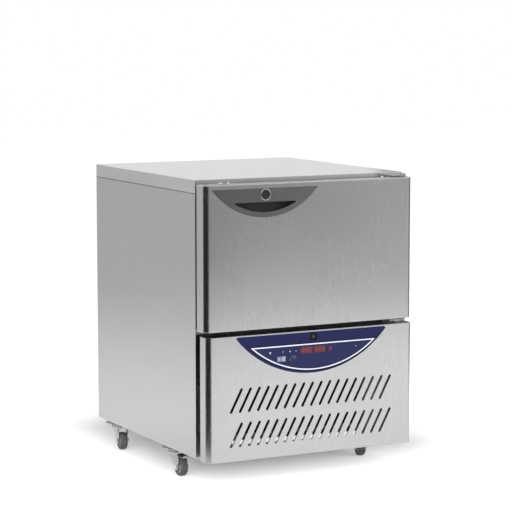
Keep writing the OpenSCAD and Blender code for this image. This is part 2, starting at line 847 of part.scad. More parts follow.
// Hermetic shell with feet, pipe stubs and a terminal cover
module compressor() color([0.12, 0.12, 0.13]) {
    z = comp_z0;
    difference() {
        union() {
            translate([comp_x, comp_y, z]) {
                rotate_extrude() {
                    intersection() {
                        rounded_rect([-comp_r, 0], [comp_r, comp_h], comp_dome_r);
                        rect([0, 0], [comp_r, comp_h]);
                    }
                    rect([0, comp_h * 0.52], [comp_r + 2.5, comp_h * 0.52 + 4]);
                }
                linear_extrude(4) rounded_rect([-comp_r, -comp_r], [comp_r, comp_r], 18);
            }
            block([comp_x - comp_r - 22, comp_y - 26, z + comp_h * 0.32],
                  [comp_x - comp_r + 14, comp_y + 26, z + comp_h * 0.62]);
            for (p = [[comp_x + stub_out, comp_y - 10], [suction_x, comp_y + 30]])
                translate([p[0], p[1], z + comp_h - comp_dome_r])
                    cylinder(r = pipe_r + 2, h = comp_dome_r + stub_top);
        }
        for (i = [-1, 1], j = [-1, 1])
            translate([comp_x + i * foot_side, comp_y + j * foot_side, z - cut])
                cylinder(r = 4.5, h = 4 + 2 * cut);
    }
}

// Rubber mounts under the compressor's feet, each with its stud and nut in one
module compressor_mounts() color([0.08, 0.08, 0.08]) {
    for (i = [-1, 1], j = [-1, 1])
        translate([comp_x + i * foot_side, comp_y + j * foot_side, tray_top])
            rotate_extrude()
                polygon([[0, 0], [mount_r, 0], [mount_r, mount_h / 3], [mount_r - 3, mount_h / 2],
                         [mount_r, mount_h * 2 / 3], [mount_r, mount_h],
                         [4.2, mount_h], [4.2, mount_h + 4], [8, mount_h + 4],
                         [8, mount_h + 9], [0, mount_h + 9]]);
}

module condenser_coil() color([0.35, 0.33, 0.31]) {
    translate([0, 0, cond_z0]) linear_extrude(cond_z1 - cond_z0)
        fin_comb(cond_x0 + 2, cond_x1 - 2, cond_y0, cond_y1, cond_pitch, cond_fin_t);
    for (x = [cond_x0, cond_x1 - 2])
        block([x, cond_y0 - 1, cond_z0], [x + 2, cond_y1, cond_z1]);
    u_bends(cond_x1, (cond_y0 + cond_y1) / 2, cond_z0 + 8, cond_z1 - 8, 5, pipe_r, 1);
    u_bends(cond_x0, (cond_y0 + cond_y1) / 2, cond_z0 + 8, cond_z1 - 8, 5, pipe_r, -1);
}

// Carrier under the condenser, with a bright front lip, and the shroud round its fan
module condenser_shroud() color([0.85, 0.86, 0.86]) {
    t = shroud_t;
    x0 = shroud_x0;
    x1 = shroud_x1;
    difference() {
        union() {
            block([x0, cond_y0 - 3, cond_z0 - t], [x1, shroud_y1, cond_z0]);
            block([x0, cond_y0 - 3, cond_z0 - 9], [x1, cond_y0 - 3 + t, cond_z0]);
            block([x0, shroud_y1 - t, cond_z0 - t], [x1, shroud_y1, cond_z1]);
            block([x0, cond_y1 + 0.5, cond_z1 - t], [x1, shroud_y1, cond_z1]);
            for (x = [x0, x1 - t])
                block([x, cond_y1 + 0.5, cond_z0 - t], [x + t, shroud_y1, cond_z1]);
            turned_y(cond_fan_x, cond_fan_z)
                rect([cond_fan_r + 4, shroud_y1 - t], [cond_fan_r + 4 + t, shroud_y1 + duct_depth]);
            for (x = [x0, x1 - 20]) {
                block([x, cond_y0 - 3, tray_top], [x + 20, cond_y0 - 3 + t, cond_z0]);
                block([x, shroud_y1 - t, tray_top], [x + 20, shroud_y1, cond_z0]);
                block([x, cond_y0 - 3, tray_top], [x + 20, shroud_y1, tray_top + t]);
            }
        }
        turned_y(cond_fan_x, cond_fan_z)
            rect([0, shroud_y1 - t - cut], [cond_fan_r + 4, shroud_y1 + duct_depth + cut]);
    }
}

// Motor on a folded foot that stands on the base tray
module condenser_fan_motor() color(dark_grey) {
    y = cond_motor_y;
    back = y + motor_depth;
    turned_y(cond_fan_x, cond_fan_z)
        polygon([[0, y], [motor_r - 7, y], [motor_r, y + 8], [motor_r, back - 10],
                 [motor_r - 9, back], [0, back]]);
    turned_y(cond_fan_x, cond_fan_z) rect([0, y - 20], [4, y + 1]);
    block([cond_fan_x - 25, y + 20, tray_top], [cond_fan_x + 25, y + 23, cond_fan_z]);
    block([cond_fan_x - 25, y + 20, tray_top], [cond_fan_x + 25, back + 6, tray_top + 3]);
}

module condenser_fan_blade() color([0.6, 0.6, 0.62]) {
    fan_blades(cond_fan_x, shroud_y1 - 6, cond_fan_z, cond_fan_r, 26, 28, 5, 24, 4 + run_gap);
}

// Discharge, liquid and suction lines, with the filter drier in the liquid line
module refrigerant_pipes() color([0.72, 0.45, 0.3]) {
    top = comp_z0 + comp_h + stub_top;
    header_x = cond_x1 + fit_gap;
    drier_end = drier_y + drier_l;
    pipe([[comp_x + stub_out, comp_y - 10, top], [comp_x + stub_out, comp_y - 10, top + rise],
          [out_x, comp_y - 10, top + rise], [out_x, line_y, top + rise],
          [out_x, line_y, cond_z1 - 12], [header_x, line_y, cond_z1 - 12]], pipe_r, bend_r);
    pipe([[header_x, line_y, drier_z], [out_x, line_y, drier_z], [out_x, drier_y, drier_z]],
         pipe_r, bend_r);
    translate([out_x, 0, drier_z]) rotate([-90, 0, 0]) translate([0, 0, drier_y])
        rotate_extrude()
            polygon([[0, 0], [pipe_r + 1, 0], [drier_r, drier_r], [drier_r, drier_l - drier_r],
                     [pipe_r + 1, drier_l], [0, drier_l]]);
    pipe([[out_x, drier_end, drier_z], [out_x, drier_end + tail, drier_z],
          [out_x, drier_end + tail, foam_z0]], pipe_r, bend_r);
    pipe([[suction_x, comp_y + 30, top], [suction_x, comp_y + 30, top + suction_rise],
          [suction_x, comp_y + 30 + suction_run, top + suction_rise],
          [suction_x, comp_y + 30 + suction_run, foam_z0]], pipe_r + 1, bend_r);
}

// Control box of the power side, on the base tray at the right
module electrical_box() color([0.75, 0.76, 0.77]) {
    block([box_x0, box_y0, tray_top], [box_x1, box_y1, box_z1]);
    block([box_x0 - 2, box_y0 - 2, box_z1], [box_x1 + 2, box_y1 + 2, box_z1 + box_lid]);
}

// Cable gland in the lower back panel
module mains_inlet() color([0.1, 0.1, 0.1]) {
    y = body_y1 - back_inset;
    bore = 5;
    turned_y(gland_x, gland_z) {
        rect([bore, y - 12], [gland_r, y + sheet_t + 1]);
        polygon([[bore, y + 6], [11, y + 6], [11, y + 12], [8, y + 17], [bore, y + 17]]);
    }
    for (range = [[y - 7, y], [y + sheet_t, y + 7]])
        translate([gland_x, range[0], gland_z]) rotate([-90, 0, 0])
            difference() {
                cylinder(r = 12.5, h = range[1] - range[0], $fn = 6);
                translate([0, 0, -cut]) cylinder(r = bore, h = 2 * cut + range[1] - range[0]);
            }
}

// ---------- Door ----------

// Outline of the handle at its place on the door
module handle_outline() {
    translate([handle_x, handle_z]) segment(handle_r, handle_h, handle_corner);
}

// The handle's seat in the skin, inset by g from the outline
module handle_seat(g) {
    translate([handle_x, handle_z - g]) sharp_segment(handle_r - g, handle_h - 2 * g);
}

// Mouth of the finger pocket
module pocket_mouth() {
    translate([handle_x, handle_z - pocket_drop]) segment(pocket_r, pocket_h, handle_corner);
}

// Hollow behind the mouth, with its top edge undercut, widened by g
module pocket_hollow(g) {
    lift = pocket_undercut + g;
    translate([handle_x, handle_z - pocket_drop + lift])
        sharp_segment(pocket_r + g, pocket_h + lift + g);
}

// Opening in the back of the door skin that the door liner closes
module door_back(g) {
    rect([-half_w + door_return + g, door_z0 + door_return + g],
         [half_w - door_return - g, door_z1 - door_return - g]);
}

// The four places of the hinge bushes, so that the door can be hung on either side
module at_bushes() {
    for (s = [-1, 1]) {
        translate([s * pivot_x, pivot_y, door_z1]) mirror([s < 0 ? 1 : 0, 0, 0]) children();
        translate([s * pivot_x, pivot_y, door_z0]) mirror([s < 0 ? 1 : 0, 0, 0])
            mirror([0, 0, 1]) children();
    }
}

module door_skin() color(steel) {
    t = sheet_t;
    difference() {
        translate([0, 0, door_z0]) linear_extrude(door_h)
            bullnose(half_w, door_y0, door_y1, bullnose_r);
        translate([0, 0, door_z0 + t]) linear_extrude(door_h - 2 * t)
            bullnose(half_w - t, door_y0 + t, door_y1 - t, bullnose_r - t);
        upright(door_y1 - 2 * t, door_y1 + cut) door_back(0);
        upright(door_y0 - cut, door_y0 + 2 * t) handle_seat(handle_lap);
        at_bushes() translate([0, 0, -2 * t]) cylinder(r = bush_r + fit_gap, h = 4 * t);
    }
}

module door_insulation() color([0.93, 0.88, 0.68]) {
    g = sheet_t + fit_gap;
    difference() {
        union() {
            translate([0, 0, door_z0 + g]) linear_extrude(door_h - 2 * g)
                bullnose(half_w - g, door_y0 + g, door_y1 - g, bullnose_r - g);
            upright(door_y1 - 2 * g, door_y1 + dish_h - g) door_dish(g);
        }
        upright(door_y0, door_y0 + handle_t + fit_gap) handle_seat(handle_lap);
        upright(door_y0, door_y0 + pocket_depth + fit_gap)
            pocket_hollow(1 + cup_wall + fit_gap);
        turned_y(handle_x, lock_z) rect([0, door_y0], [barrel_r + fit_gap, body_y0]);
        at_bushes() translate([0, 0, -bush_depth - fit_gap])
            cylinder(r = bush_r + fit_gap, h = bush_depth + cut);
    }
}

// Raised field of the door's inner face, inside the gasket, inset by g
module door_dish(g) {
    x = chamber_w / 2 - 11 - g;
    rounded_rect([-x, chamber_z0 + 8 + g], [x, chamber_z1 - 8 - g], 10);
}

module door_liner() color([0.8, 0.81, 0.82]) {
    difference() {
        union() {
            upright(door_y1 - sheet_t, door_y1) door_back(fit_gap);
            upright(door_y1 - sheet_t, door_y1 + dish_h) door_dish(0);
        }
        upright(door_y1 - sheet_t - cut, door_y1 + dish_h - sheet_t) door_dish(sheet_t);
        turned_y(handle_x, lock_z)
            rect([0, door_y1 - sheet_t - cut], [barrel_r + fit_gap, door_y1 + cut]);
    }
}

// Magnetic gasket: base, narrower bellows and magnet tube, in one ring
module door_gasket() color([0.2, 0.2, 0.21]) {
    low = [-half_w + gasket_edge, door_z0 + gasket_edge];
    high = [half_w - gasket_edge, door_z1 - gasket_top];
    free = door_gap - seat_gap;
    upright(door_y1, door_y1 + 2) bar_ring(low, high, gasket_w);
    upright(door_y1 + 2, door_y1 + 4.5)
        bar_ring(low + [4, 4], high - [4, 4], gasket_w - 8);
    upright(door_y1 + 4.5, door_y1 + free)
        bar_ring(low + [1.5, 1.5], high - [1.5, 1.5], gasket_w - 3);
}

// Moulded handle: rim plate on the skin, finger pocket with an undercut, seat for the lock
module door_handle() color(dark_grey) {
    floor_y = door_y0 + pocket_depth - cup_wall;
    difference() {
        union() {
            upright(door_y0 - 1, door_y0) handle_outline();
            upright(door_y0 - 0.5, door_y0 + handle_t) handle_seat(handle_lap + fit_gap);
            upright(door_y0, door_y0 + pocket_depth) pocket_hollow(1 + cup_wall);
        }
        upright(door_y0 - 1 - cut, door_y0 + 6) pocket_mouth();
        upright(door_y0 + 5, floor_y) pocket_hollow(1);
        turned_y(handle_x, lock_z)
            rect([0, door_y0 - cut - 1], [barrel_r + fit_gap, door_y0 + handle_t + cut]);
    }
}

// Chromed barrel: dished bezel on the handle, tube through the door, nut at the back
module door_lock_barrel() color([0.85, 0.85, 0.87]) {
    bore = plug_r + run_gap;
    rim = lock_bezel_r - 1;
    turned_y(handle_x, lock_z)
        polygon([[bore, door_y1 + 1.2], [barrel_r + 3, door_y1 + 1.2],
                 [barrel_r + 3, door_y1 + 0.1], [barrel_r, door_y1 + 0.1],
                 [barrel_r, bezel_y1], [rim, bezel_y1], [rim, bezel_y1 - 1.3],
                 [rim - 1, bezel_y1 - 1.7], [rim - 2, bezel_y1 - 1.3],
                 [plug_r + 2, bezel_y1 - 0.5], [bore, bezel_y1 - 0.5]]);
}

// Lock plug with its slot in front and its cam behind the door
module door_lock_cam() color([0.2, 0.2, 0.21]) {
    difference() {
        union() {
            turned_y(handle_x, lock_z) rect([0, bezel_y1 - 1], [plug_r, cam_y0 + cam_t]);
            cam(handle_x, lock_z, [0, 0, 0]);
        }
        block([handle_x - 0.8, bezel_y1 - 2, lock_z - 3], [handle_x + 0.8, bezel_y1 + 5, lock_z + 3]);
    }
}

// A cam plate that points up, or down when turned half round
module cam(x, z, turn) {
    translate([x, 0, z]) rotate(turn) upright(cam_y0, cam_y0 + cam_t) {
        circle(cam_w / 2 + 2);
        rect([-cam_w / 2, 0], [cam_w / 2, cam_l]);
    }
}

// Four flanged bushes with screw plates, let into the door's top and bottom edges
module door_bushes() color([0.83, 0.84, 0.85]) {
    at_bushes() difference() {
        union() {
            linear_extrude(1.5) rounded_rect([-52, -9.5], [10, 9.5], 6);
            translate([0, 0, -bush_depth]) cylinder(r = bush_r, h = bush_depth + 1);
            for (x = [pivot_side - 39.5, pivot_side - 62])
                translate([x, 0, 1.4]) cylinder(r1 = 3.4, r2 = 2.2, h = 0.9);
        }
        translate([0, 0, -bush_depth + 2]) cylinder(r = pin_r + run_gap, h = bush_depth + 4);
    }
}

// ---------- Lower panel ----------

module louvre_panel() color(steel) {
    t = sheet_t;
    lug_x = ear_x + ear_t + 1.5;
    difference() {
        union() {
            difference() {
                translate([0, 0, panel_z0]) linear_extrude(panel_z1 - panel_z0)
                    bullnose(panel_x, panel_y0, panel_y1, bullnose_r);
                translate([0, 0, panel_z0 + t]) linear_extrude(panel_z1 - panel_z0 - 2 * t)
                    bullnose(panel_x - t, panel_y0 + t, panel_y1 - t, bullnose_r - t);
                block([-panel_x + 15, panel_y1 - 2 * t, panel_z0 + t],
                      [panel_x - 15, panel_y1 + cut, panel_z1 - 9]);
            }
            for (s = [-1, 1])
                sideways(s * (lug_x + 1.5) - 1.5, s * (lug_x + 1.5) + 1.5)
                    rect([panel_y0 + t / 2, panel_z0 + t / 2], [sill_y + 6, sill_z + 6]);
        }
        for (s = [-1, 1]) {
            block([s * (ear_x + ear_t / 2) - 3, panel_y0 + t + fit_gap, panel_z0 - cut],
                  [s * (ear_x + ear_t / 2) + 3, panel_y1 + cut, panel_z0 + 2 * t]);
            turned_x(sill_y, sill_z)
                rect([0, min(s * lug_x, s * (lug_x + 3)) - cut],
                     [sill_pin_r + run_gap, max(s * lug_x, s * (lug_x + 3)) + cut]);
        }
        for (row = [0, 1], i = [0 : slot_count - 1])
            translate([(i - (slot_count - 1) / 2) * slot_pitch, 0, low_row_z + row * row_pitch])
                upright(panel_y0 - cut, panel_y0 + t + cut)
                    rotate(-slot_lean) stadium(slot_l, slot_w);
        upright(panel_y0 - cut, panel_y0 + t + cut) board_window(0);
        turned_y(latch_x, latch_z)
            rect([0, panel_y0 - cut], [latch_barrel_r + fit_gap, panel_y0 + t + cut]);
    }
}

// Opening behind the fascia for the displays and buttons, inset by g
module board_window(g) {
    rect([-board_x + g, fascia_z + board_bottom + g], [board_x - g, fascia_z + board_top - g]);
}

module control_fascia() color([0.16, 0.18, 0.42]) {
    difference() {
        upright(panel_y0 - fascia_t, panel_y0)
            translate([0, fascia_z]) segment(fascia_r, fascia_h, fascia_corner);
        for (w = windows)
            upright(panel_y0 - fascia_t - cut, panel_y0 + cut) window_outline(w, 0);
        for (b = buttons)
            turned_y(b[0], fascia_z + b[1])
                rect([0, panel_y0 - fascia_t - cut], [button_r + seat_gap, panel_y0 + cut]);
        turned_y(latch_x, latch_z)
            rect([0, panel_y0 - fascia_t - cut], [latch_r + fit_gap, panel_y0 + cut]);
    }
}

module window_outline(w, g) {
    rect([w[0] + g, fascia_z + w[2] + g], [w[1] - g, fascia_z + w[3] - g]);
}

module display_windows() color([0.55, 0.22, 0.22]) {
    for (w = windows)
        upright(panel_y0 - fascia_t + 0.2, panel_y0) window_outline(w, fit_gap);
}

// Controller housing behind the panel; its raised front fills the panel's opening
module control_board() color([0.15, 0.15, 0.16]) {
    back = panel_y0 + sheet_t;
    pocket_y = panel_y0 + 1.4 + button_travel + 1.8;
    difference() {
        union() {
            upright(panel_y0, back) board_window(fit_gap);
            block([-board_x - 12, back, fascia_z + board_bottom - 8],
                  [board_x + 12, panel_y1 - 8, fascia_z + board_top + 2]);
        }
        for (b = buttons)
            turned_y(b[0], fascia_z + b[1])
                rect([0, panel_y0 - cut], [button_r + 1.6, pocket_y]);
    }
}

// A push button: cap in the fascia, retaining flange behind it
module push_button(i) color([0.78, 0.8, 0.86]) {
    front = panel_y0 - fascia_t;
    turned_y(buttons[i][0], fascia_z + buttons[i][1])
        polygon([[0, front], [button_r - 0.8, front], [button_r, front + 0.6],
                 [button_r, panel_y0 + 0.1], [button_r + 1, panel_y0 + 0.1],
                 [button_r + 1, panel_y0 + 1.4], [0, panel_y0 + 1.4]]);
}

module button_1() push_button(0);
module button_2() push_button(1);
module button_3() push_button(2);
module button_4() push_button(3);
module button_5() push_button(4);

// Latch housing: face in the fascia, threaded barrel through the panel, nut behind it
module panel_latch_body() color([0.07, 0.07, 0.07]) {
    bore = latch_shaft_r + run_gap;
    back = panel_y0 + sheet_t;
    turned_y(latch_x, latch_z)
        polygon([[bore, panel_y0 + 2.5], [bore, back + 14], [latch_barrel_r, back + 14],
                 [latch_barrel_r, back + 4], [latch_r, back + 4], [latch_r, back],
                 [latch_barrel_r, back], [latch_barrel_r, panel_y0], [latch_r, panel_y0],
                 [latch_r, panel_y0 - fascia_t + 0.5], [latch_r - 0.5, panel_y0 - fascia_t],
                 [latch_shaft_r + 3, panel_y0 - fascia_t], [latch_shaft_r + 2.2, panel_y0 + 2.5]]);
}

// Quarter-turn shaft with a slotted head, reaching back to its cam
module panel_latch_cam() color([0.2, 0.2, 0.21]) {
    difference() {
        union() {
            turned_y(latch_x, latch_z)
                polygon([[0, panel_y0 - 0.6], [latch_shaft_r + 1.6, panel_y0 - 0.6],
                         [latch_shaft_r + 1.6, panel_y0 + 2.2], [latch_shaft_r, panel_y0 + 2.2],
                         [latch_shaft_r, cam_y0 + cam_t], [0, cam_y0 + cam_t]]);
            cam(latch_x, latch_z, [0, 180, 0]);
        }
        block([latch_x - 4, panel_y0 - 1, latch_z - 0.7], [latch_x + 4, panel_y0 + 1.2, latch_z + 0.7]);
    }
}

// ---------- Castors ----------

// Where the four castors are: name, x, y and turn of the fork at rest
castors = [["fl", -castor_x, castor_y0, 0], ["fr", castor_x, castor_y0, -12],
           ["rl", -castor_x, castor_y1, -8], ["rr", castor_x, castor_y1, 14]];

module at_castor(i) {
    translate([castors[i][1], castors[i][2], 0]) rotate([0, 0, castors[i][3]]) children();
}

// Bolted top plates, each with its race and the kingpin that carries the fork
module castor_plates() color([0.78, 0.79, 0.8]) {
    for (c = castors)
        translate([c[1], c[2], 0]) {
            translate([0, 0, castor_h - plate_t]) linear_extrude(plate_t)
                rounded_rect([-23, -46], [23, 46], 6);
            rotate_extrude() {
                rect([13, fork_top + 0.5], [20, castor_h - plate_t]);
                rect([0, fork_top - fork_t - 3], [5, castor_h - plate_t]);
                polygon([[0, fork_top - fork_t - 3.5], [7, fork_top - fork_t - 3.5],
                         [9, fork_top - fork_t - 0.5], [0, fork_top - fork_t - 0.5]]);
            }
        }
}

// Pressed fork: round crown, two broad legs swept back to the axle, with the axle bolt
module castor_fork(i) color([0.8, 0.81, 0.82]) at_castor(i) {
    top = fork_top;
    difference() {
        union() {
            translate([0, 0, top - fork_t]) {
                cylinder(r = 23, h = fork_t);
                linear_extrude(fork_t) rect([-leg_x - fork_t, -30], [leg_x + fork_t, 12]);
            }
            for (s = [-1, 1])
                sideways(s * (leg_x + fork_t / 2) - fork_t / 2, s * (leg_x + fork_t / 2) + fork_t / 2)
                    fork_leg();
        }
        translate([0, 0, top - fork_t - cut]) cylinder(r = 5 + run_gap, h = fork_t + 2 * cut);
        turned_x(pedal_y, pedal_z)
            rect([0, -leg_x - fork_t - cut], [pedal_pin_r + run_gap, leg_x + fork_t + cut]);
    }
    turned_x(-trail, wheel_r) {
        rect([0, -leg_x - fork_t], [axle_r, leg_x + fork_t]);
        rect([0, leg_x + fork_t - 0.1], [6.5, leg_x + fork_t + 4]);
        rect([0, -leg_x - fork_t - 4], [6.5, -leg_x - fork_t + 0.1]);
    }
}

// Side view of a fork leg: broad below the crown, round at the axle
module fork_leg() {
    translate([-trail, wheel_r]) circle(9.5);
    polygon([[-30, fork_top], [12, fork_top], [10, fork_top - 14], [-trail + 8.5, wheel_r - 4],
             [-trail - 9.5, wheel_r], [-trail - 11, fork_top - 18], [-trail - 8, fork_top - 7]]);
}

// Wheel: hub and crowned tread in one, hollowed between them on both sides
module castor_wheel(i) color([0.42, 0.43, 0.45]) at_castor(i) {
    w = wheel_w / 2;
    turned_x(-trail, wheel_r)
        polygon([[axle_r + run_gap, -w - 1], [8, -w - 1], [9, -w + 4], [wheel_r - 8, -w + 4],
                 [wheel_r - 7, -w], [wheel_r - 3, -w], [wheel_r - 0.6, -w + 3],
                 [wheel_r, -w + 7], [wheel_r, w - 7], [wheel_r - 0.6, w - 3],
                 [wheel_r - 3, w], [wheel_r - 7, w], [wheel_r - 8, w - 4], [9, w - 4],
                 [8, w + 1], [axle_r + run_gap, w + 1]]);
}

// Foot lever on a pin between the fork's legs, with the shoe that bears on the tread
module brake_pedal(i) color([0.8, 0.81, 0.82]) at_castor(i) {
    half = wheel_w / 2 - 1;
    sideways(-half, half) {
        translate([pedal_y, pedal_z]) circle(4);
        polygon([[pedal_y, pedal_z + 1], [pedal_y - 38, pedal_z - 1],
                 [pedal_y - 42, pedal_z + 5], [pedal_y - 44, pedal_z + 4.4],
                 [pedal_y - 39.4, pedal_z - 3.2], [pedal_y, pedal_z - 1.2]]);
        polygon([[pedal_y - 22, pedal_z], [pedal_y - 12, pedal_z],
                 [pedal_y - 12, pedal_z - 3.4], [pedal_y - 22, pedal_z - 4.4]]);
    }
    turned_x(pedal_y, pedal_z)
        rect([0, -leg_x - fork_t - 0.5], [pedal_pin_r, leg_x + fork_t + 0.5]);
}

module castor_fork_fl() castor_fork(0);
module castor_fork_fr() castor_fork(1);
module castor_fork_rl() castor_fork(2);
module castor_fork_rr() castor_fork(3);
module castor_wheel_fl() castor_wheel(0);
module castor_wheel_fr() castor_wheel(1);
module castor_wheel_rl() castor_wheel(2);
module castor_wheel_rr() castor_wheel(3);
module brake_pedal_fl() brake_pedal(0);
module brake_pedal_fr() brake_pedal(1);

// ---------- Pieces ----------

worktop();
left_side_panel();
right_side_panel();
back_panel();
base_tray();
cabinet_insulation();
chamber_liner();
front_frame();
castor_plates();
cabinet_screws();
lock_keepers();
hinge_brackets();
hinge_pins();
tray_racks();
wire_shelf_1();
wire_shelf_2();
wire_shelf_3();
evaporator_coil();
fan_baffle();
evaporator_fan_motor();
evaporator_fan_blade();
drain_pipe();
compressor();
compressor_mounts();
condenser_coil();
condenser_shroud();
condenser_fan_motor();
condenser_fan_blade();
refrigerant_pipes();
electrical_box();
mains_inlet();
door_skin();
door_insulation();
door_liner();
door_gasket();
door_handle();
door_lock_barrel();
door_lock_cam();
door_bushes();
louvre_panel();
control_fascia();
display_windows();
control_board();
panel_latch_body();
panel_latch_cam();
button_1();
button_2();
button_3();
button_4();
button_5();
castor_fork_fl();
castor_fork_fr();
castor_fork_rl();
castor_fork_rr();
castor_wheel_fl();
castor_wheel_fr();
castor_wheel_rl();
castor_wheel_rr();
brake_pedal_fl();
brake_pedal_fr();
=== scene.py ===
"""Looks of an under-counter blast chiller on castors. Lengths are in metres, in the CAD frame:
+X to the right as one faces the door, +Y to the back, +Z up, floor at z = 0."""

import math

import bmesh
import bpy
from mathutils import Matrix, Vector


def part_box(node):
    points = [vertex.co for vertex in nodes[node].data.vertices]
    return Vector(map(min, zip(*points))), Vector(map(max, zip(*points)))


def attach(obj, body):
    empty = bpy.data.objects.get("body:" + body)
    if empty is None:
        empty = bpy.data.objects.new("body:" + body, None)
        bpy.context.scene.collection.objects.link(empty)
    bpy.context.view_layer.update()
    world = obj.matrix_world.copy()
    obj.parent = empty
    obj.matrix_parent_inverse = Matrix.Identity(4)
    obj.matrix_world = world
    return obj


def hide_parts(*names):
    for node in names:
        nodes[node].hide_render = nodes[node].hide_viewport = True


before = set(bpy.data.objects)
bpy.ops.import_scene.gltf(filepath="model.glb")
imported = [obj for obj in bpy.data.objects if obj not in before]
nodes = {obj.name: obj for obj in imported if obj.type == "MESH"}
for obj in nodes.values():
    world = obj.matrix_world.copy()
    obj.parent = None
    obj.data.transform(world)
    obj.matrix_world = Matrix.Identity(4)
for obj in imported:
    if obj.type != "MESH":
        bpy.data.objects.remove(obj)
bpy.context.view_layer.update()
MM = 0.001


def add_object(name, data):
    made = bpy.data.objects.new(name, data)
    bpy.context.scene.collection.objects.link(made)
    return made


def point_at(made, target, axis):
    """Turns an object so that its axis, "Z" or "-Z", points at target."""
    made.rotation_euler = (Vector(target) - made.location).to_track_quat(axis, "Y").to_euler()


# ---------- Camera ----------

IMAGE_PX = 512
SENSOR_MM = 36.0
FOCAL_PX = 2042.4
CAMERA_YAW = math.radians(27.56)
CAMERA_PITCH = math.radians(6.70)
CAMERA_DISTANCE = 5.331
CAMERA_TARGET = Vector((-0.134, -0.289, 0.600))
CAMERA_REACH = 60


def make_camera():
    data = bpy.data.cameras.new("camera")
    data.sensor_width = SENSOR_MM
    data.lens = FOCAL_PX * SENSOR_MM / IMAGE_PX
    data.clip_end = CAMERA_REACH
    camera = add_object("camera", data)
    level = math.cos(CAMERA_PITCH)
    forward = Vector((math.sin(CAMERA_YAW) * level, math.cos(CAMERA_YAW) * level,
                      -math.sin(CAMERA_PITCH)))
    camera.location = CAMERA_TARGET - forward * CAMERA_DISTANCE
    camera.rotation_euler = forward.to_track_quat("-Z", "Y").to_euler()
    bpy.context.scene.camera = camera


# ---------- Node helper ----------


WHITE = (1, 1, 1, 1)
NOISE_MIDDLE = (0.3, 0.7)
EDGE_COSINES = (1.0, 0.85)


class Tree:
    """Builds the nodes of a material, or of a world. A socket given as an input is linked;
    any other value is set."""

    def __init__(self, name, world=False):
        self.owner = (bpy.data.worlds if world else bpy.data.materials).new(name)
        self.owner.use_nodes = True
        self.tree = self.owner.node_tree
        self.tree.nodes.clear()
        kind = "ShaderNodeOutputWorld" if world else "ShaderNodeOutputMaterial"
        self.output = self.tree.nodes.new(kind)

    def node(self, kind, inputs=None, **settings):
        made = self.tree.nodes.new(kind)
        for key, value in settings.items():
            setattr(made, key, value)
        for key, value in (inputs or {}).items():
            if isinstance(value, bpy.types.NodeSocket):
                self.tree.links.new(value, made.inputs[key])
            else:
                made.inputs[key].default_value = value
        return made

    def place(self):
        """Position on the object, in metres of the row's frame."""
        return self.node("ShaderNodeTexCoord").outputs["Object"]

    def split(self, vector):
        """The "X", "Y" and "Z" sockets of a vector."""
        return self.node("ShaderNodeSeparateXYZ", {0: vector}).outputs

    def scaled(self, vector, scale):
        return self.node("ShaderNodeMapping", {"Vector": vector, "Scale": scale}).outputs[0]

    def noise(self, vector, scale, detail=3.0, roughness=0.5):
        inputs = {"Vector": vector, "Scale": scale, "Detail": detail, "Roughness": roughness}
        return self.node("ShaderNodeTexNoise", inputs).outputs["Fac"]

    def math(self, operation, a, b=0.0, c=0.0):
        return self.node("ShaderNodeMath", {0: a, 1: b, 2: c}, operation=operation).outputs[0]

    def length(self, a, b):
        """Length of the vector with the two sides a and b."""
        squares = (self.math("MULTIPLY", side, side) for side in (a, b))
        return self.math("SQRT", self.math("ADD", *squares))

    def span(self, value, low, high, to_low=0.0, to_high=1.0):
        """Takes value from low..high to to_low..to_high, held at the ends."""
        inputs = {"Value": value, "From Min": low, "From Max": high,
                  "To Min": to_low, "To Max": to_high}
        return self.node("ShaderNodeMapRange", inputs).outputs["Result"]

    def even(self, noise, to_low=0.0, to_high=1.0):
        """Takes the middle part of a noise, where nearly all of it lies, to to_low..to_high."""
        return self.span(noise, *NOISE_MIDDLE, to_low, to_high)

    def blend(self, factor, a, b):
        """Mixes two colours."""
        made = self.node("ShaderNodeMix", data_type="RGBA")
        for socket, value in ((made.inputs[0], factor), (made.inputs[6], a), (made.inputs[7], b)):
            if isinstance(value, bpy.types.NodeSocket):
                self.tree.links.new(value, socket)
            else:
                socket.default_value = (*value, 1) if isinstance(value, tuple) else value
        return made.outputs[2]

    def soft_edge(self, radius):
        """Normal with its edges rounded by radius, and a mask that is 1 on those edges."""
        rounded = self.node("ShaderNodeBevel", {"Radius": radius}, samples=4).outputs[0]
        true = self.node("ShaderNodeNewGeometry").outputs["Normal"]
        dot = self.node("ShaderNodeVectorMath", {0: rounded, 1: true}, operation="DOT_PRODUCT")
        return rounded, self.span(dot.outputs["Value"], *EDGE_COSINES)

    def bump(self, height, strength, distance, normal=None):
        inputs = {"Height": height, "Strength": strength, "Distance": distance}
        if normal is not None:
            inputs["Normal"] = normal
        return self.node("ShaderNodeBump", inputs).outputs[0]

    def end(self, shader):
        """Ends the nodes in a shader and returns the material or world."""
        self.tree.links.new(shader.outputs[0], self.output.inputs["Surface"])
        return self.owner

    def surface(self, **inputs):
        """Ends the material in a Principled shader. Spaces in socket names are underscores."""
        named = {key.replace("_", " "): value for key, value in inputs.items()}
        return self.end(self.node("ShaderNodeBsdfPrincipled", named))


# ---------- Materials ----------

# Scales of the brushing noise, by axis
UPRIGHT = (700, 700, 5)
CROSSWISE = (5, 700, 700)
# Heights over a seam between which its painted shadow line fades out
SEAM_EDGES = (1.5 * MM, 2.2 * MM)
SEAM_SHADE = 0.25


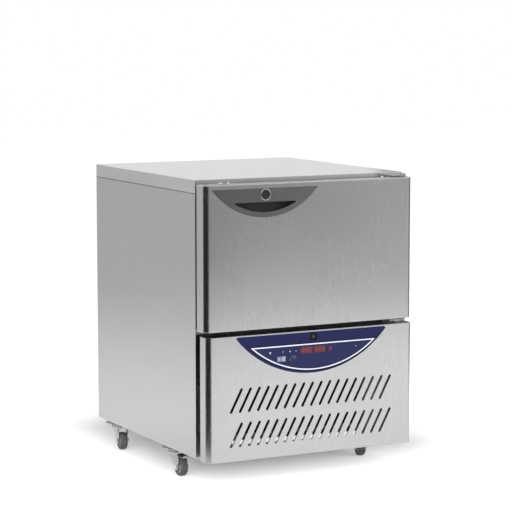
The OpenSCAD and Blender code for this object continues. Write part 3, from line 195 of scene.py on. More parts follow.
def brushed_steel(name, tone=0.56, grain=UPRIGHT, rough=0.27, anisotropic=0.6, edge=1.0 * MM,
                  rub_and_highlight=0.12, seam=None):
    """Stainless sheet: fine brushing along one direction, faint streaks and handling marks, and
    rounded edges lightened in colour: a little rubbing, the rest a painted highlight along the
    bends.
    With seam, a painted shadow line, for the shade in the gap, runs just above that height."""
    t = Tree(name)
    place = t.place()
    lines = t.noise(t.scaled(place, grain), 1.0, 4, 0.6)
    streaks = t.noise(t.scaled(place, tuple(g * 0.12 for g in grain)), 1.0, 2)
    clouds = t.noise(place, 3.5, 3)
    rounded, edge_mask = t.soft_edge(edge)
    value = t.math("ADD", t.even(lines, -0.003, 0.003),
                   t.even(streaks, -0.003, 0.003))
    value = t.math("ADD", value, t.even(clouds, tone - 0.008, tone + 0.008))
    # Rounded edges are lightened: a little rubbing, the rest a painted highlight along the bends.
    value = t.math("MULTIPLY_ADD", edge_mask, rub_and_highlight, value)
    if seam is not None:
        # Painted shadow: the sheet darkens just above the seam, where the gap's shade falls.
        gap_shade = t.span(t.split(place)["Z"], *(seam + up for up in SEAM_EDGES), SEAM_SHADE)
        value = t.math("MULTIPLY", value, gap_shade)
    cool = t.math("MULTIPLY", value, 1.012)
    colour = t.node("ShaderNodeCombineColor", {"Red": value, "Green": value, "Blue": cool})
    roughness = t.math("ADD", t.even(lines, rough - 0.007, rough + 0.007),
                       t.even(clouds, -0.02, 0.02))
    tangent = t.node("ShaderNodeTangent", direction_type="RADIAL",
                     axis="X" if grain == CROSSWISE else "Z")
    return t.surface(Base_Color=colour.outputs[0], Metallic=1.0, Roughness=roughness,
                     Anisotropic=anisotropic, Tangent=tangent.outputs[0],
                     Normal=t.bump(lines, 0.006, 0.02 * MM, rounded))


def zinc_plate(name, tone=0.7, rough=0.34):
    """Bright zinc plating with a faint spangle and rubbed edges."""
    t = Tree(name)
    place = t.place()
    cells = t.node("ShaderNodeTexVoronoi", {"Vector": place, "Scale": 260.0})
    spangle = t.node("ShaderNodeSeparateColor", {0: cells.outputs["Color"]}).outputs[0]
    grime = t.noise(place, 45.0, 5, 0.6)
    rounded, edge_mask = t.soft_edge(0.6 * MM)
    value = t.math("ADD", t.span(spangle, 0, 1, tone - 0.05, tone + 0.04),
                   t.span(grime, 0.35, 0.75, 0.03, -0.12))
    value = t.math("MULTIPLY_ADD", edge_mask, 0.15, value)
    warm = t.math("MULTIPLY", value, 1.015)
    colour = t.node("ShaderNodeCombineColor", {"Red": warm, "Green": value, "Blue": value})
    return t.surface(Base_Color=colour.outputs[0], Metallic=1.0,
                     Roughness=t.even(grime, rough - 0.08, rough + 0.12),
                     Normal=t.bump(grime, 0.1, 0.1 * MM, rounded))


def polished_metal(name, colour, rough=0.08):
    """Chrome or bare metal with a few dull spots."""
    t = Tree(name)
    place = t.place()
    spots = t.noise(place, 120.0, 4, 0.65)
    rounded, _ = t.soft_edge(0.5 * MM)
    dull = tuple(c * 0.82 for c in colour)
    return t.surface(Base_Color=t.blend(t.span(spots, 0.45, 0.75), colour, dull), Metallic=1.0,
                     Roughness=t.span(spots, 0.4, 0.75, rough, rough + 0.14), Normal=rounded)


def moulded_plastic(name, colour, rough=0.42, gloss=0.5):
    """Spark-eroded moulding: a fine leathery grain, paler on rubbed edges."""
    t = Tree(name)
    place = t.place()
    pits = t.noise(place, 1400.0, 2, 0.5)
    clouds = t.noise(place, 12.0, 3)
    rounded, edge_mask = t.soft_edge(0.8 * MM)
    light = tuple(min(1.0, c * 1.5 + 0.012) for c in colour)
    dark = tuple(c * 0.86 for c in colour)
    tone = t.blend(t.even(clouds), dark, tuple(c * 1.1 for c in colour))
    return t.surface(Base_Color=t.blend(t.math("MULTIPLY", edge_mask, 0.5), tone, light),
                     Roughness=t.even(clouds, rough - 0.05, rough + 0.05),
                     Specular_IOR_Level=gloss,
                     Normal=t.bump(pits, 0.35, 0.06 * MM, rounded))


# Depths behind the handle's face between which its moulding turns to the pocket's painted shade
POCKET_WALL = (1.2 * MM, 4 * MM)


def handle_moulding(name):
    """Grey moulding with a leathery grain and rubbed paler edges. Painted light makes it lighter
    towards the hinge side, at +X, and painted shade makes it near black inside the finger pocket,
    where no light reaches."""
    low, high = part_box("door_handle")
    t = Tree(name)
    place = t.place()
    split = t.split(place)
    pits = t.noise(place, 1400.0, 2, 0.5)
    clouds = t.noise(place, 12.0, 3)
    rounded, edge_mask = t.soft_edge(0.8 * MM)
    # Painted light: the moulding goes from darker on the left to lighter on the right.
    across = t.span(split["X"], low.x, high.x)
    tone = t.blend(across, (0.040, 0.040, 0.042), (0.062, 0.062, 0.064))
    tone = t.blend(t.math("MULTIPLY", t.even(clouds), 0.08), tone, (0.14, 0.14, 0.14))
    tone = t.blend(t.math("MULTIPLY", edge_mask, 0.4), tone, (0.19, 0.19, 0.19))
    # Painted shade: deeper in the pocket the moulding goes near black and loses most of its gloss.
    pocket_shade = t.span(split["Y"], *(low.y + depth for depth in POCKET_WALL))
    tone = t.blend(pocket_shade, tone, (0.028, 0.028, 0.028))
    return t.surface(Base_Color=tone, Roughness=t.even(clouds, 0.38, 0.48),
                     Specular_IOR_Level=t.span(pocket_shade, 0.0, 1.0, 0.4, 0.12),
                     Normal=t.bump(pits, 0.3, 0.06 * MM, rounded))


def rubber(name, colour, rough=0.7):
    """Rubber with bloom and a little dust in its pores."""
    t = Tree(name)
    place = t.place()
    dust = t.noise(place, 90.0, 5, 0.7)
    pores = t.noise(place, 900.0, 2)
    rounded, _ = t.soft_edge(0.8 * MM)
    pale = tuple(c * 1.25 + 0.02 for c in colour)
    return t.surface(Base_Color=t.blend(t.span(dust, 0.45, 0.8), colour, pale),
                     Roughness=t.even(dust, rough - 0.08, rough + 0.12),
                     Normal=t.bump(pores, 0.3, 0.1 * MM, rounded))


def enamel(name, colour, rough=0.35):
    """Sprayed paint with orange peel and rubbed edges."""
    t = Tree(name)
    place = t.place()
    peel = t.noise(place, 380.0, 2)
    dust = t.noise(place, 25.0, 5, 0.65)
    rounded, edge_mask = t.soft_edge(0.8 * MM)
    dusty = tuple(c * 0.8 + 0.035 for c in colour)
    tone = t.blend(t.span(dust, 0.45, 0.8, 0.0, 0.8), colour, dusty)
    return t.surface(Base_Color=t.blend(t.math("MULTIPLY", edge_mask, 0.4), tone, (0.3, 0.3, 0.3)),
                     Roughness=t.span(dust, 0.3, 0.8, rough, rough + 0.25),
                     Normal=t.bump(peel, 0.15, 0.1 * MM, rounded))


def foam(name):
    """Blown polyurethane: pale yellow, open cells, darker where it is old."""
    t = Tree(name)
    place = t.place()
    cells = t.node("ShaderNodeTexVoronoi", {"Vector": place, "Scale": 420.0}).outputs["Distance"]
    age = t.noise(place, 9.0, 4)
    tone = t.blend(t.even(age), (0.84, 0.74, 0.46), (0.74, 0.6, 0.32))
    return t.surface(Base_Color=t.blend(t.span(cells, 0.0, 0.6), tone, (0.5, 0.4, 0.2)),
                     Roughness=0.9, Normal=t.bump(cells, 0.6, 0.5 * MM))


def copper(name):
    """Drawn copper tube, tarnished in patches and bright between them."""
    t = Tree(name)
    place = t.place()
    patches = t.noise(place, 18.0, 5, 0.6)
    return t.surface(Base_Color=t.blend(t.span(patches, 0.4, 0.62), (0.83, 0.45, 0.3),
                                        (0.32, 0.15, 0.1)), Metallic=1.0,
                     Roughness=t.span(patches, 0.35, 0.65, 0.2, 0.5),
                     Normal=t.bump(patches, 0.1, 0.1 * MM))


FIN_PITCH = 1.5 * MM


def fin_stack(name, colour, dust=0.4):
    """Coil fins: thin sheets seen edge on, with painted shade in the gaps between them and dust
    caught between them.
    """
    t = Tree(name)
    place = t.place()
    wave = t.math("SINE", t.math("MULTIPLY", t.split(place)["X"], 2 * math.pi / FIN_PITCH))
    fluff = t.noise(place, 60.0, 6, 0.7)
    # Painted shade: the gaps between the fins are darkened to 12 % of the fins' colour.
    edges = t.blend(t.span(wave, -0.4, 0.6), tuple(c * 0.12 for c in colour), colour)
    return t.surface(Base_Color=t.blend(t.span(fluff, 0.5, 0.85, 0.0, dust), edges,
                                        (0.3, 0.29, 0.27)),
                     Metallic=0.7, Roughness=t.span(fluff, 0.3, 0.8, 0.35, 0.7),
                     Normal=t.bump(wave, 0.5, 0.3 * MM))


NAVY = (0.007, 0.010, 0.054)
NAVY_FIELD = (0.012, 0.017, 0.062)
NAVY_SHADE = (0.003, 0.003, 0.012)
PRINT_WHITE = (0.68, 0.69, 0.71)
# Radii of the fascia's own edge and of the printed outline, then the outline's top and middle
FASCIA_ARC = 292 * MM
OUTLINE_ARC = 282.5 * MM
OUTLINE_TOP = 0.367
OUTLINE_X = 4.5 * MM
PRINT_LINE = 3.0 * MM
# Where the darker band beside the outline starts and ends, out from the line
SHADE_BAND = (2.4 * MM, 4.0 * MM)
MARK_TONES = ((0.12, 0.14, 0.21), (0.28, 0.29, 0.33), (0.5, 0.53, 0.62), (0.3, 0.32, 0.42))
# Printed marks in mm: left, right, bottom, top, and which of the tones
PRINTED_MARKS = (
    (-105, -93, 327, 340, 0), (-92, -80, 327, 340, 1),
    *((-103, -95, z - 0.6, z + 0.6, 2) for z in (329, 333, 337)),
    *((x, x + 2, z, z + 1.6, 3)
      for x, z in ((-67, 329), (-63, 334), (-59, 338), (-55, 338), (-55, 331), (-51, 335))))


def inside(t, distance, edge):
    """1 where distance is under edge."""
    return t.math("LESS_THAN", distance, edge)


def printed_fascia(name):
    """Screen-printed film: navy, with a paler field inside a white outline."""
    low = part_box("control_fascia")[0]
    t = Tree(name)
    place = t.place()
    split = t.split(place)
    x, z = split["X"], split["Z"]
    radius = t.length(t.math("SUBTRACT", x, OUTLINE_X),
                      t.math("SUBTRACT", z, low.z + FASCIA_ARC))

    def field(grow):
        arc = inside(t, radius, OUTLINE_ARC + grow)
        return t.math("MULTIPLY", arc, inside(t, z, OUTLINE_TOP + grow))

    def patch(x0, x1, z0, z1):
        across = t.math("COMPARE", x, (x0 + x1) / 2 * MM, (x1 - x0) / 2 * MM)
        return t.math("MULTIPLY", across,
                      t.math("COMPARE", z, (z0 + z1) / 2 * MM, (z1 - z0) / 2 * MM))

    grain = t.noise(place, 2500.0, 2)
    clouds = t.noise(place, 15.0, 3)
    colour = t.blend(t.even(clouds), NAVY, tuple(c * 1.12 for c in NAVY))
    colour = t.blend(field(PRINT_LINE / 2 + SHADE_BAND[1]), colour, NAVY_SHADE)
    colour = t.blend(field(PRINT_LINE / 2 + SHADE_BAND[0]), colour, NAVY)
    colour = t.blend(field(PRINT_LINE / 2), colour, PRINT_WHITE)
    colour = t.blend(field(-PRINT_LINE / 2), colour, NAVY_FIELD)
    for *edges, tone in PRINTED_MARKS:
        colour = t.blend(patch(*edges), colour, MARK_TONES[tone])
    return t.surface(Base_Color=colour, Roughness=t.even(clouds, 0.3, 0.38),
                     Specular_IOR_Level=0.22, Normal=t.bump(grain, 0.15, 0.03 * MM))


SYMBOL_LINE_HALF = 0.5 * MM
SYMBOL_ARM = 1.9 * MM
SYMBOL_RING_R = 2.1 * MM
SYMBOL_DOT_R = 1.2 * MM
CAP_RIM = (3.4 * MM, 4.3 * MM)


def printed_button(name, node, symbol):
    """A membrane button cap with a white symbol: ring, bar, beam, cross or dot."""
    low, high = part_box(node)
    centre = (low + high) / 2
    t = Tree(name)
    place = t.place()
    split = t.split(place)
    x = t.math("SUBTRACT", split["X"], centre.x)
    z = t.math("SUBTRACT", split["Z"], centre.z)
    radius = t.length(x, z)

    def stroke(across, along):
        return t.math("MULTIPLY", inside(t, t.math("ABSOLUTE", across), SYMBOL_LINE_HALF),
                      inside(t, t.math("ABSOLUTE", along), SYMBOL_ARM))

    bar, beam = stroke(x, z), stroke(z, x)
    marks = {
        "ring": t.math("COMPARE", radius, SYMBOL_RING_R, SYMBOL_LINE_HALF),
        "bar": bar,
        "beam": beam,
        "cross": t.math("MAXIMUM", bar, beam),
        "dot": inside(t, radius, SYMBOL_DOT_R),
    }
    rim = t.span(radius, *CAP_RIM)
    cap = t.blend(rim, (0.009, 0.012, 0.050), (0.003, 0.004, 0.020))
    grain = t.noise(place, 1800.0, 2)
    return t.surface(Base_Color=t.blend(marks[symbol], cap, (0.72, 0.74, 0.80)),
                     Roughness=t.even(grain, 0.3, 0.42), Specular_IOR_Level=0.3,
                     Normal=t.bump(grain, 0.2, 0.04 * MM))


def display_glass(name):
    """Dark red filter over unlit digits, smooth and a little dusty."""
    t = Tree(name)
    place = t.place()
    dust = t.noise(place, 300.0, 4, 0.6)
    return t.surface(Base_Color=t.blend(t.span(dust, 0.4, 0.8), (0.105, 0.018, 0.023),
                                        (0.14, 0.030, 0.034)), Specular_IOR_Level=0.35,
                     Roughness=t.span(dust, 0.3, 0.8, 0.16, 0.3))


# Degrees by which each castor is swivelled at rest, as in the CAD
CASTOR_YAW = {"fl": 0, "fr": -12, "rl": -8, "rr": 14}
TYRE_INNER = 17.5 * MM
TYRE_RIB_PITCH = 2.4 * MM


def axle_line(place):
    """Middle of a castor's axle at rest, and the direction the axle points in."""
    low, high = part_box(f"castor_wheel_{place}")
    yaw = math.radians(CASTOR_YAW[place])
    return (low + high) / 2, Vector((math.cos(yaw), math.sin(yaw), 0))


def castor_wheel(place):
    """Dark grey tyre with fine moulded ribs and scuffs on a paler nylon hub."""
    centre, axle = axle_line(place)
    t = Tree(f"castor_wheel_{place}")
    position = t.place()
    out = t.node("ShaderNodeVectorMath", {0: position, 1: centre}, operation="SUBTRACT").outputs[0]
    along = t.node("ShaderNodeVectorMath", {0: out, 1: axle}, operation="DOT_PRODUCT")
    along = along.outputs["Value"]
    length = t.node("ShaderNodeVectorMath", {0: out}, operation="LENGTH").outputs["Value"]
    radial = t.math("SQRT", t.math("SUBTRACT", t.math("MULTIPLY", length, length),
                                   t.math("MULTIPLY", along, along)))
    tyre = t.math("GREATER_THAN", radial, TYRE_INNER)
    dust = t.noise(position, 110.0, 5, 0.7)
    rounded, _ = t.soft_edge(0.8 * MM)
    ribs = t.math("SINE", t.math("MULTIPLY", along, 2 * math.pi / TYRE_RIB_PITCH))
    dark = t.blend(t.span(dust, 0.45, 0.8), (0.085, 0.088, 0.094), (0.17, 0.17, 0.17))
    pale = t.blend(t.span(dust, 0.4, 0.8), (0.36, 0.36, 0.37), (0.25, 0.25, 0.25))
    height = t.math("MULTIPLY", t.math("MULTIPLY", ribs, 0.25), tyre)
    return t.surface(Base_Color=t.blend(tyre, pale, dark),
                     Roughness=t.even(dust, 0.42, 0.62),
                     Normal=t.bump(height, 0.3, 0.3 * MM, rounded))


def dress_cad_nodes():
    """Gives each carried-over CAD node its material."""
    sheet = brushed_steel("brushed_sheet")
    panel_sheet = brushed_steel("panel_sheet", tone=0.54)
    # Painted highlight: the worktop's and the door's wide, strongly lightened edges give their
    # bright edge lines.
    top_sheet = brushed_steel("brushed_top", tone=0.63, grain=CROSSWISE, rough=0.3, edge=2.5 * MM,
                              rub_and_highlight=0.35, seam=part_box("worktop")[0].z)
    inner = brushed_steel("inner_sheet", tone=0.58, rough=0.33, anisotropic=0.3)
    zinc = zinc_plate("zinc_plated", tone=0.52)
    chrome = polished_metal("chrome_wire", (0.78, 0.79, 0.81))
    black = moulded_plastic("black_plastic", (0.006, 0.006, 0.007), rough=0.36, gloss=0.12)
    dark_metal = enamel("cam_steel", (0.014, 0.014, 0.015), rough=0.34)
    bezel = polished_metal("lock_bezel", (0.42, 0.42, 0.43), rough=0.16)
    door_sheet = brushed_steel("door_sheet", edge=3.5 * MM, rub_and_highlight=0.25)
    # Painted shade: the front frame is near black so that the gaps round the door and the panel
    # read dark.
    shade_frame = moulded_plastic("front_frame_shade", (0.045, 0.046, 0.05), rough=0.5, gloss=0.3)
    compressor = enamel("compressor_enamel", (0.016, 0.016, 0.018), rough=0.28)
    motor = enamel("motor_enamel", (0.03, 0.031, 0.034), rough=0.4)
    blade = zinc_plate("fan_blade_sheet", tone=0.55, rough=0.42)
    gasket = rubber("gasket_rubber", (0.06, 0.06, 0.065), rough=0.55)
    yellow = foam("blown_foam")
    looks = {
        sheet: ["left_side_panel", "right_side_panel", "back_panel"],
        panel_sheet: ["louvre_panel"],
        door_sheet: ["door_skin"],
        shade_frame: ["front_frame"],
        bezel: ["door_lock_barrel"],
        top_sheet: ["worktop"],
        inner: ["chamber_liner", "door_liner", "tray_racks", "fan_baffle"],
        zinc: ["base_tray", "castor_plates", "cabinet_screws", "lock_keepers",
               "hinge_brackets", "hinge_pins", "condenser_shroud", "door_bushes",
               "castor_fork_fl", "castor_fork_fr", "castor_fork_rl", "castor_fork_rr",
               "brake_pedal_fl", "brake_pedal_fr"],
        chrome: ["wire_shelf_1", "wire_shelf_2", "wire_shelf_3"],
        black: ["panel_latch_body", "control_board", "mains_inlet"],
        dark_metal: ["door_lock_cam", "panel_latch_cam"],
        compressor: ["compressor"],
        motor: ["evaporator_fan_motor", "condenser_fan_motor"],
        blade: ["evaporator_fan_blade", "condenser_fan_blade"],
        gasket: ["door_gasket", "compressor_mounts"],
        yellow: ["cabinet_insulation", "door_insulation"],
        handle_moulding("handle_plastic"): ["door_handle"],
        moulded_plastic("drain_plastic", (0.62, 0.62, 0.6)): ["drain_pipe"],
        moulded_plastic("box_plastic", (0.42, 0.43, 0.44)): ["electrical_box"],
        copper("copper_tube"): ["refrigerant_pipes"],
        fin_stack("condenser_fins", (0.06, 0.058, 0.055)): ["condenser_coil"],
        fin_stack("evaporator_fins", (0.62, 0.64, 0.66), dust=0.05): ["evaporator_coil"],
        printed_fascia("printed_fascia"): ["control_fascia"],
        display_glass("display_glass"): ["display_windows"],
    }
    symbols = ("ring", "bar", "cross", "beam", "dot")
    for i, symbol in enumerate(symbols, 1):
        looks[printed_button(f"button_cap_{i}", f"button_{i}", symbol)] = [f"button_{i}"]
    for place in CASTOR_YAW:
        looks[castor_wheel(place)] = [f"castor_wheel_{place}"]
    for material, names in looks.items():
        for name in names:
            slots = nodes[name].data.materials
            slots.clear()
            slots.append(material)


# ---------- Pieces ----------


def islands(node):
    """(lowest, highest) corner of each separate shell of a CAD node, in a fixed order."""
    bm = bmesh.new()
    bm.from_mesh(nodes[node].data)
    left, found = set(bm.verts), []
    while left:
        queue, shell = [left.pop()], []
        while queue:
            vert = queue.pop()
            shell.append(vert.co.copy())
            for edge in vert.link_edges:
                other = edge.other_vert(vert)
                if other in left:
                    left.remove(other)
                    queue.append(other)
        found.append((Vector([min(v[i] for v in shell) for i in range(3)]),
                      Vector([max(v[i] for v in shell) for i in range(3)])))
    bm.free()
    return sorted(found, key=lambda corners: tuple(corners[0]))


def ring(bm, matrix, radius, height, steps):
    """A ring of vertices round local Z, or one vertex where the radius is 0."""
    if radius == 0:
        return [bm.verts.new(matrix @ Vector((0, 0, height)))]
    angles = [2 * math.pi * i / steps for i in range(steps)]
    return [bm.verts.new(matrix @ Vector((radius * math.cos(a), radius * math.sin(a), height)))
            for a in angles]


def join_rings(bm, a, b):
    """Faces between two rings of the same size, or between a ring and one vertex."""
    for i in range(max(len(a), len(b))):
        j = (i + 1) % max(len(a), len(b))
        if len(a) == 1:
            bm.faces.new((a[0], b[i], b[j]))
        elif len(b) == 1:
            bm.faces.new((a[i], a[j], b[0]))
        else:
            bm.faces.new((a[i], a[j], b[j], b[i]))


def lathe(bm, matrix, profile, steps=32):
    """Turns (radius, height) points round local Z and returns the last ring."""
    rings = [ring(bm, matrix, radius, height, steps) for radius, height in profile]
    for a, b in zip(rings, rings[1:]):
        join_rings(bm, a, b)
    return rings[-1]


def loop_edges(bm, loop):
    """The edges of a closed loop of vertices, made where they are missing."""
    pairs = zip(loop, loop[1:] + loop[:1])
    return [bm.edges.get(pair) or bm.edges.new(pair) for pair in pairs]


def recess(bm, matrix, rim, outline, top, bottom):
    """Fills the inside of rim at height top, with a recess of that outline down to bottom."""
    upper = [bm.verts.new(matrix @ Vector((x, y, top))) for x, y in outline]
    lower = [bm.verts.new(matrix @ Vector((x * 0.85, y * 0.85, bottom))) for x, y in outline]
    join_rings(bm, upper, lower)
    bm.faces.new(lower)
    bmesh.ops.triangle_fill(bm, use_beauty=True, use_dissolve=False,
                            edges=loop_edges(bm, rim) + loop_edges(bm, upper))


def cross_head(bm, matrix, radius, height):
    """Domed screw head with a cross recess; local Z points out of the head."""
    rim = lathe(bm, matrix, [(0, 0), (radius, 0), (radius, height * 0.3),
                             (radius * 0.93, height * 0.6), (radius * 0.8, height * 0.85),
                             (radius * 0.62, height)], 24)
    arm, half = radius * 0.5, radius * 0.13
    outline = []
    for quarter in range(4):
        turn = Matrix.Rotation(quarter * math.pi / 2, 2)
        outline += [turn @ Vector(v) for v in ((arm, -half), (arm, half), (half, half))]
    recess(bm, matrix, rim, outline, height, height * 0.4)


def hexagon(bm, matrix, radius, low, high):
    """Hexagon head or nut from low to high on local Z, its outer corners chamfered."""
    lip = (high - low) * 0.15
    inset = radius * 0.9
    lathe(bm, matrix, [(0, low), (radius, low), (radius, high - lip), (inset, high),
                       (0, high)], 6)


def thread(bm, matrix, radius, low, high, pitch):
    """Ridged shank end from low to high on local Z."""
    profile = [(0, low)]
    turns = max(2, round((high - low) / pitch))
    for i in range(turns):
        profile += [(radius * 0.88, low + (high - low) * i / turns),
                    (radius, low + (high - low) * (i + 0.5) / turns)]
    lathe(bm, matrix, profile + [(radius * 0.85, high), (0, high)], 20)


def add_piece(name, bm, material, body):
    """Ends mesh code: the piece rides on a body and takes its finish from a slot."""
    bmesh.ops.recalc_face_normals(bm, faces=bm.faces)
    mesh = bpy.data.meshes.new(name)
    bm.to_mesh(mesh)
    bm.free()
    mesh.materials.append(material)
    piece = add_object(name, mesh)
    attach(piece, body)
    return piece


FACING_FRONT = Matrix.Rotation(math.radians(90), 4, "X")
FACING_DOWN = Matrix.Rotation(math.radians(180), 4, "X")

PLATE_WASHER_R = 7.2 * MM
PLATE_WASHER_T = 0.7 * MM
PLATE_BOLT_R = 6 * MM


def make_fasteners(zinc):
    """Cross-head screws of the hinge brackets and keepers, bolts of the castor plates."""
    bm = bmesh.new()
    for low, high in islands("cabinet_screws"):
        size, middle = high - low, (low + high) / 2
        if size.y < size.x / 2:
            base = Matrix.Translation((middle.x, high.y, middle.z)) @ FACING_FRONT
            cross_head(bm, base, size.x / 2, size.y)
        else:
            base = Matrix.Translation((middle.x, middle.y, high.z)) @ FACING_DOWN
            lathe(bm, base, [(0, 0), (PLATE_WASHER_R, 0), (PLATE_WASHER_R, PLATE_WASHER_T),
                             (0, PLATE_WASHER_T)])
            hexagon(bm, base, PLATE_BOLT_R, PLATE_WASHER_T, size.z)
    piece = add_piece("cabinet_fasteners", bm, zinc, "cabinet")
    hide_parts("cabinet_screws")


BUSH_SCREWS_X = (-252.5 * MM, -230 * MM, 230 * MM)
BUSH_SCREW_R = 4.0 * MM
BUSH_SCREW_H = 2.6 * MM
BUSH_SCREW_SUNK = 0.8 * MM


def make_bush_screws(chrome):
    """Pan-head screws in the door's bush plates, but not under the hinge bracket's arm."""
    low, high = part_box("door_bushes")
    bm = bmesh.new()
    centre_y = (low.y + high.y) / 2
    for x in BUSH_SCREWS_X:
        for z, turn in ((high.z - BUSH_SCREW_SUNK, 0), (low.z + BUSH_SCREW_SUNK, math.pi)):
            base = Matrix.Translation((x, centre_y, z)) @ Matrix.Rotation(turn, 4, "X")
            cross_head(bm, base, BUSH_SCREW_R, BUSH_SCREW_H)
    add_piece("bush_screws", bm, chrome, "door")


LOCK_FACE_R = 12.9 * MM
LOCK_FACE_BACK = -0.65 * MM
LOCK_FACE_LEVEL = -0.25 * MM
LOCK_FACE_LIP = -0.1 * MM
KEY_SLOT_HALF = (0.8 * MM, 4 * MM)
KEY_SLOT_FLOOR = -0.6 * MM


def make_lock_face():
    """Black face with a key slot that turns with the lock plug, inside the bezel's ring."""
    low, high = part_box("door_lock_barrel")
    middle = (low + high) / 2
    bm = bmesh.new()
    base = Matrix.Translation((middle.x, low.y, middle.z)) @ FACING_FRONT
    rim = lathe(bm, base, [(0, LOCK_FACE_BACK), (LOCK_FACE_R - 1.1 * MM, LOCK_FACE_BACK),
                           (LOCK_FACE_R, LOCK_FACE_LEVEL),
                           (LOCK_FACE_R - 0.3 * MM, LOCK_FACE_LIP),
                           (LOCK_FACE_R - 2.4 * MM, LOCK_FACE_LIP),
                           (LOCK_FACE_R - 2.8 * MM, LOCK_FACE_LEVEL)], 48)
    half, tall = KEY_SLOT_HALF
    outline = [(-half, -tall), (half, -tall), (half, tall), (-half, tall)]
    recess(bm, base, rim, outline, LOCK_FACE_LEVEL, KEY_SLOT_FLOOR)
    black = moulded_plastic("lock_face", (0.012, 0.012, 0.013), rough=0.3, gloss=0.4)
    add_piece("lock_face", bm, black, "door_cam")


# Distances from the wheel's middle along the axle, and the bolt's own radii
WASHER_INNER, WASHER_OUTER, HEX_OUTER, THREAD_END = (
    13.9 * MM, 14.6 * MM, 18.4 * MM, 20.4 * MM)
AXLE_WASHER_R, AXLE_HEX_R, AXLE_THREAD_R = 8.2 * MM, 7.4 * MM, 4 * MM
AXLE_THREAD_PITCH = 1.0 * MM


def make_axle_bolts(zinc):
    """Hexagon head, nut and thread end at the ends of each castor's axle."""
    for place in CASTOR_YAW:
        centre, axle = axle_line(place)
        along = Vector((0, 0, 1)).rotation_difference(axle).to_matrix().to_4x4()
        bm = bmesh.new()
        for side in (1, -1):
            base = Matrix.Translation(centre) @ along
            if side < 0:
                base = base @ FACING_DOWN
            lathe(bm, base, [(0, WASHER_INNER), (AXLE_WASHER_R, WASHER_INNER),
                             (AXLE_WASHER_R, WASHER_OUTER), (0, WASHER_OUTER)])
            hexagon(bm, base, AXLE_HEX_R, WASHER_OUTER, HEX_OUTER)
            if side > 0:
                thread(bm, base, AXLE_THREAD_R, HEX_OUTER, THREAD_END, AXLE_THREAD_PITCH)
        add_piece(f"axle_bolt_{place}", bm, zinc, f"fork_{place}")


# A digit's segments: halves of its width to the right, bars up, and whether it lies
SEGMENTS = ((0, 2, True), (1, 1.5, False), (1, 0.5, False), (0, 0, True),
            (-1, 0.5, False), (-1, 1.5, False), (0, 1, True))
DIGIT_HALF_W = 2.5 * MM
DIGIT_BAR_H = 5.0 * MM
DIGIT_PITCH_MM = 10
DIGIT_LEAN = 0.14
SEGMENT_GAP = 0.7 * MM
SEGMENT_HALF = 0.5 * MM
DIGIT_PROUD = 0.06 * MM
DIGIT_SUNK = 0.05 * MM
DISPLAY_MIDDLES_MM = (-17.25, 22.35)
DISPLAY_MIDDLE_Z = 351.9 * MM


def make_digits():
    """Unlit seven-segment digits, three on each display."""
    face_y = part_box("display_windows")[0].y
    half = SEGMENT_HALF
    bm = bmesh.new()
    for middle in DISPLAY_MIDDLES_MM:
        for digit in (-1, 0, 1):
            for across, up, lying in SEGMENTS:
                x = (middle + digit * DIGIT_PITCH_MM) * MM + across * DIGIT_HALF_W
                z = DISPLAY_MIDDLE_Z + (up - 1) * DIGIT_BAR_H
                x += (z - DISPLAY_MIDDLE_Z) * DIGIT_LEAN
                length = (DIGIT_HALF_W if lying else DIGIT_BAR_H / 2) - SEGMENT_GAP
                outline = [(-length, 0), (-length + half, half), (length - half, half),
                           (length, 0), (length - half, -half), (-length + half, -half)]
                if not lying:
                    outline = [(b + a * DIGIT_LEAN, a) for a, b in outline]
                front, back = ([bm.verts.new((x + a, y, z + b)) for a, b in outline]
                               for y in (face_y - DIGIT_PROUD, face_y + DIGIT_SUNK))
                join_rings(bm, front, back)
                bm.faces.new(front)
                bm.faces.new(back)
    look = moulded_plastic("digit_segments", (0.18, 0.045, 0.045), rough=0.3, gloss=0.3)
    add_piece("display_digits", bm, look, "panel")


# X and lowest Z of the strip's two ends
STRIP_ENDS = ((-235 * MM, 119.0 * MM), (143 * MM, 110.5 * MM))
STRIP_FACE_Y = -348.9 * MM
STRIP_H = 11 * MM
STRIP_FLANGE = 7 * MM
STRIP_T = 1 * MM


def make_louvre_strip():
    """Folded strip inside the panel: its bright face shows in the lower ends of the louvres."""
    inner = STRIP_H - STRIP_T
    outline = [(0, 0), (STRIP_T, 0), (STRIP_T, inner), (STRIP_FLANGE, inner),
               (STRIP_FLANGE, STRIP_H), (0, STRIP_H)]
    bm = bmesh.new()
    left, right = ([bm.verts.new((x, STRIP_FACE_Y + depth, z + up)) for depth, up in outline]
                   for x, z in STRIP_ENDS)
    join_rings(bm, left, right)
    for end in (left, right):
        bmesh.ops.triangle_fill(bm, use_beauty=True, edges=loop_edges(bm, end))
    look = polished_metal("bright_strip", (0.93, 0.93, 0.94), rough=0.3)
    add_piece("louvre_strip", bm, look, "panel")


def make_pieces():
    zinc = zinc_plate("bright_fasteners", tone=0.72, rough=0.26)
    make_fasteners(zinc)
    make_bush_screws(polished_metal("screw_chrome", (0.95, 0.95, 0.96), rough=0.3))
    make_lock_face()
    make_axle_bolts(zinc)
    make_digits()
    make_louvre_strip()


# ---------- Floor, backdrop and light ----------


FLOOR_HALF = 14
# The rectangle on the floor, by X and Y, from which the glow starts to grow; the dimmer floor near
# it is painted shadow
SHADED_MIDDLE = (0.16, 0.26)
SHADED_HALF = (0.27, 0.27)
FLOOR_REACH = 0.32
FLOOR_GLOW = (0.05, 0.8)
# The floor's glow in reflections: from one Y to another, from one level to another
MIRRORED_FRONT = (-3.4, -1.3, 0.02, 0.22)
MIRRORED_BACK = (-0.2, 0.6, 0.0, 0.3)
WORLD_DIFFUSE = 0.28
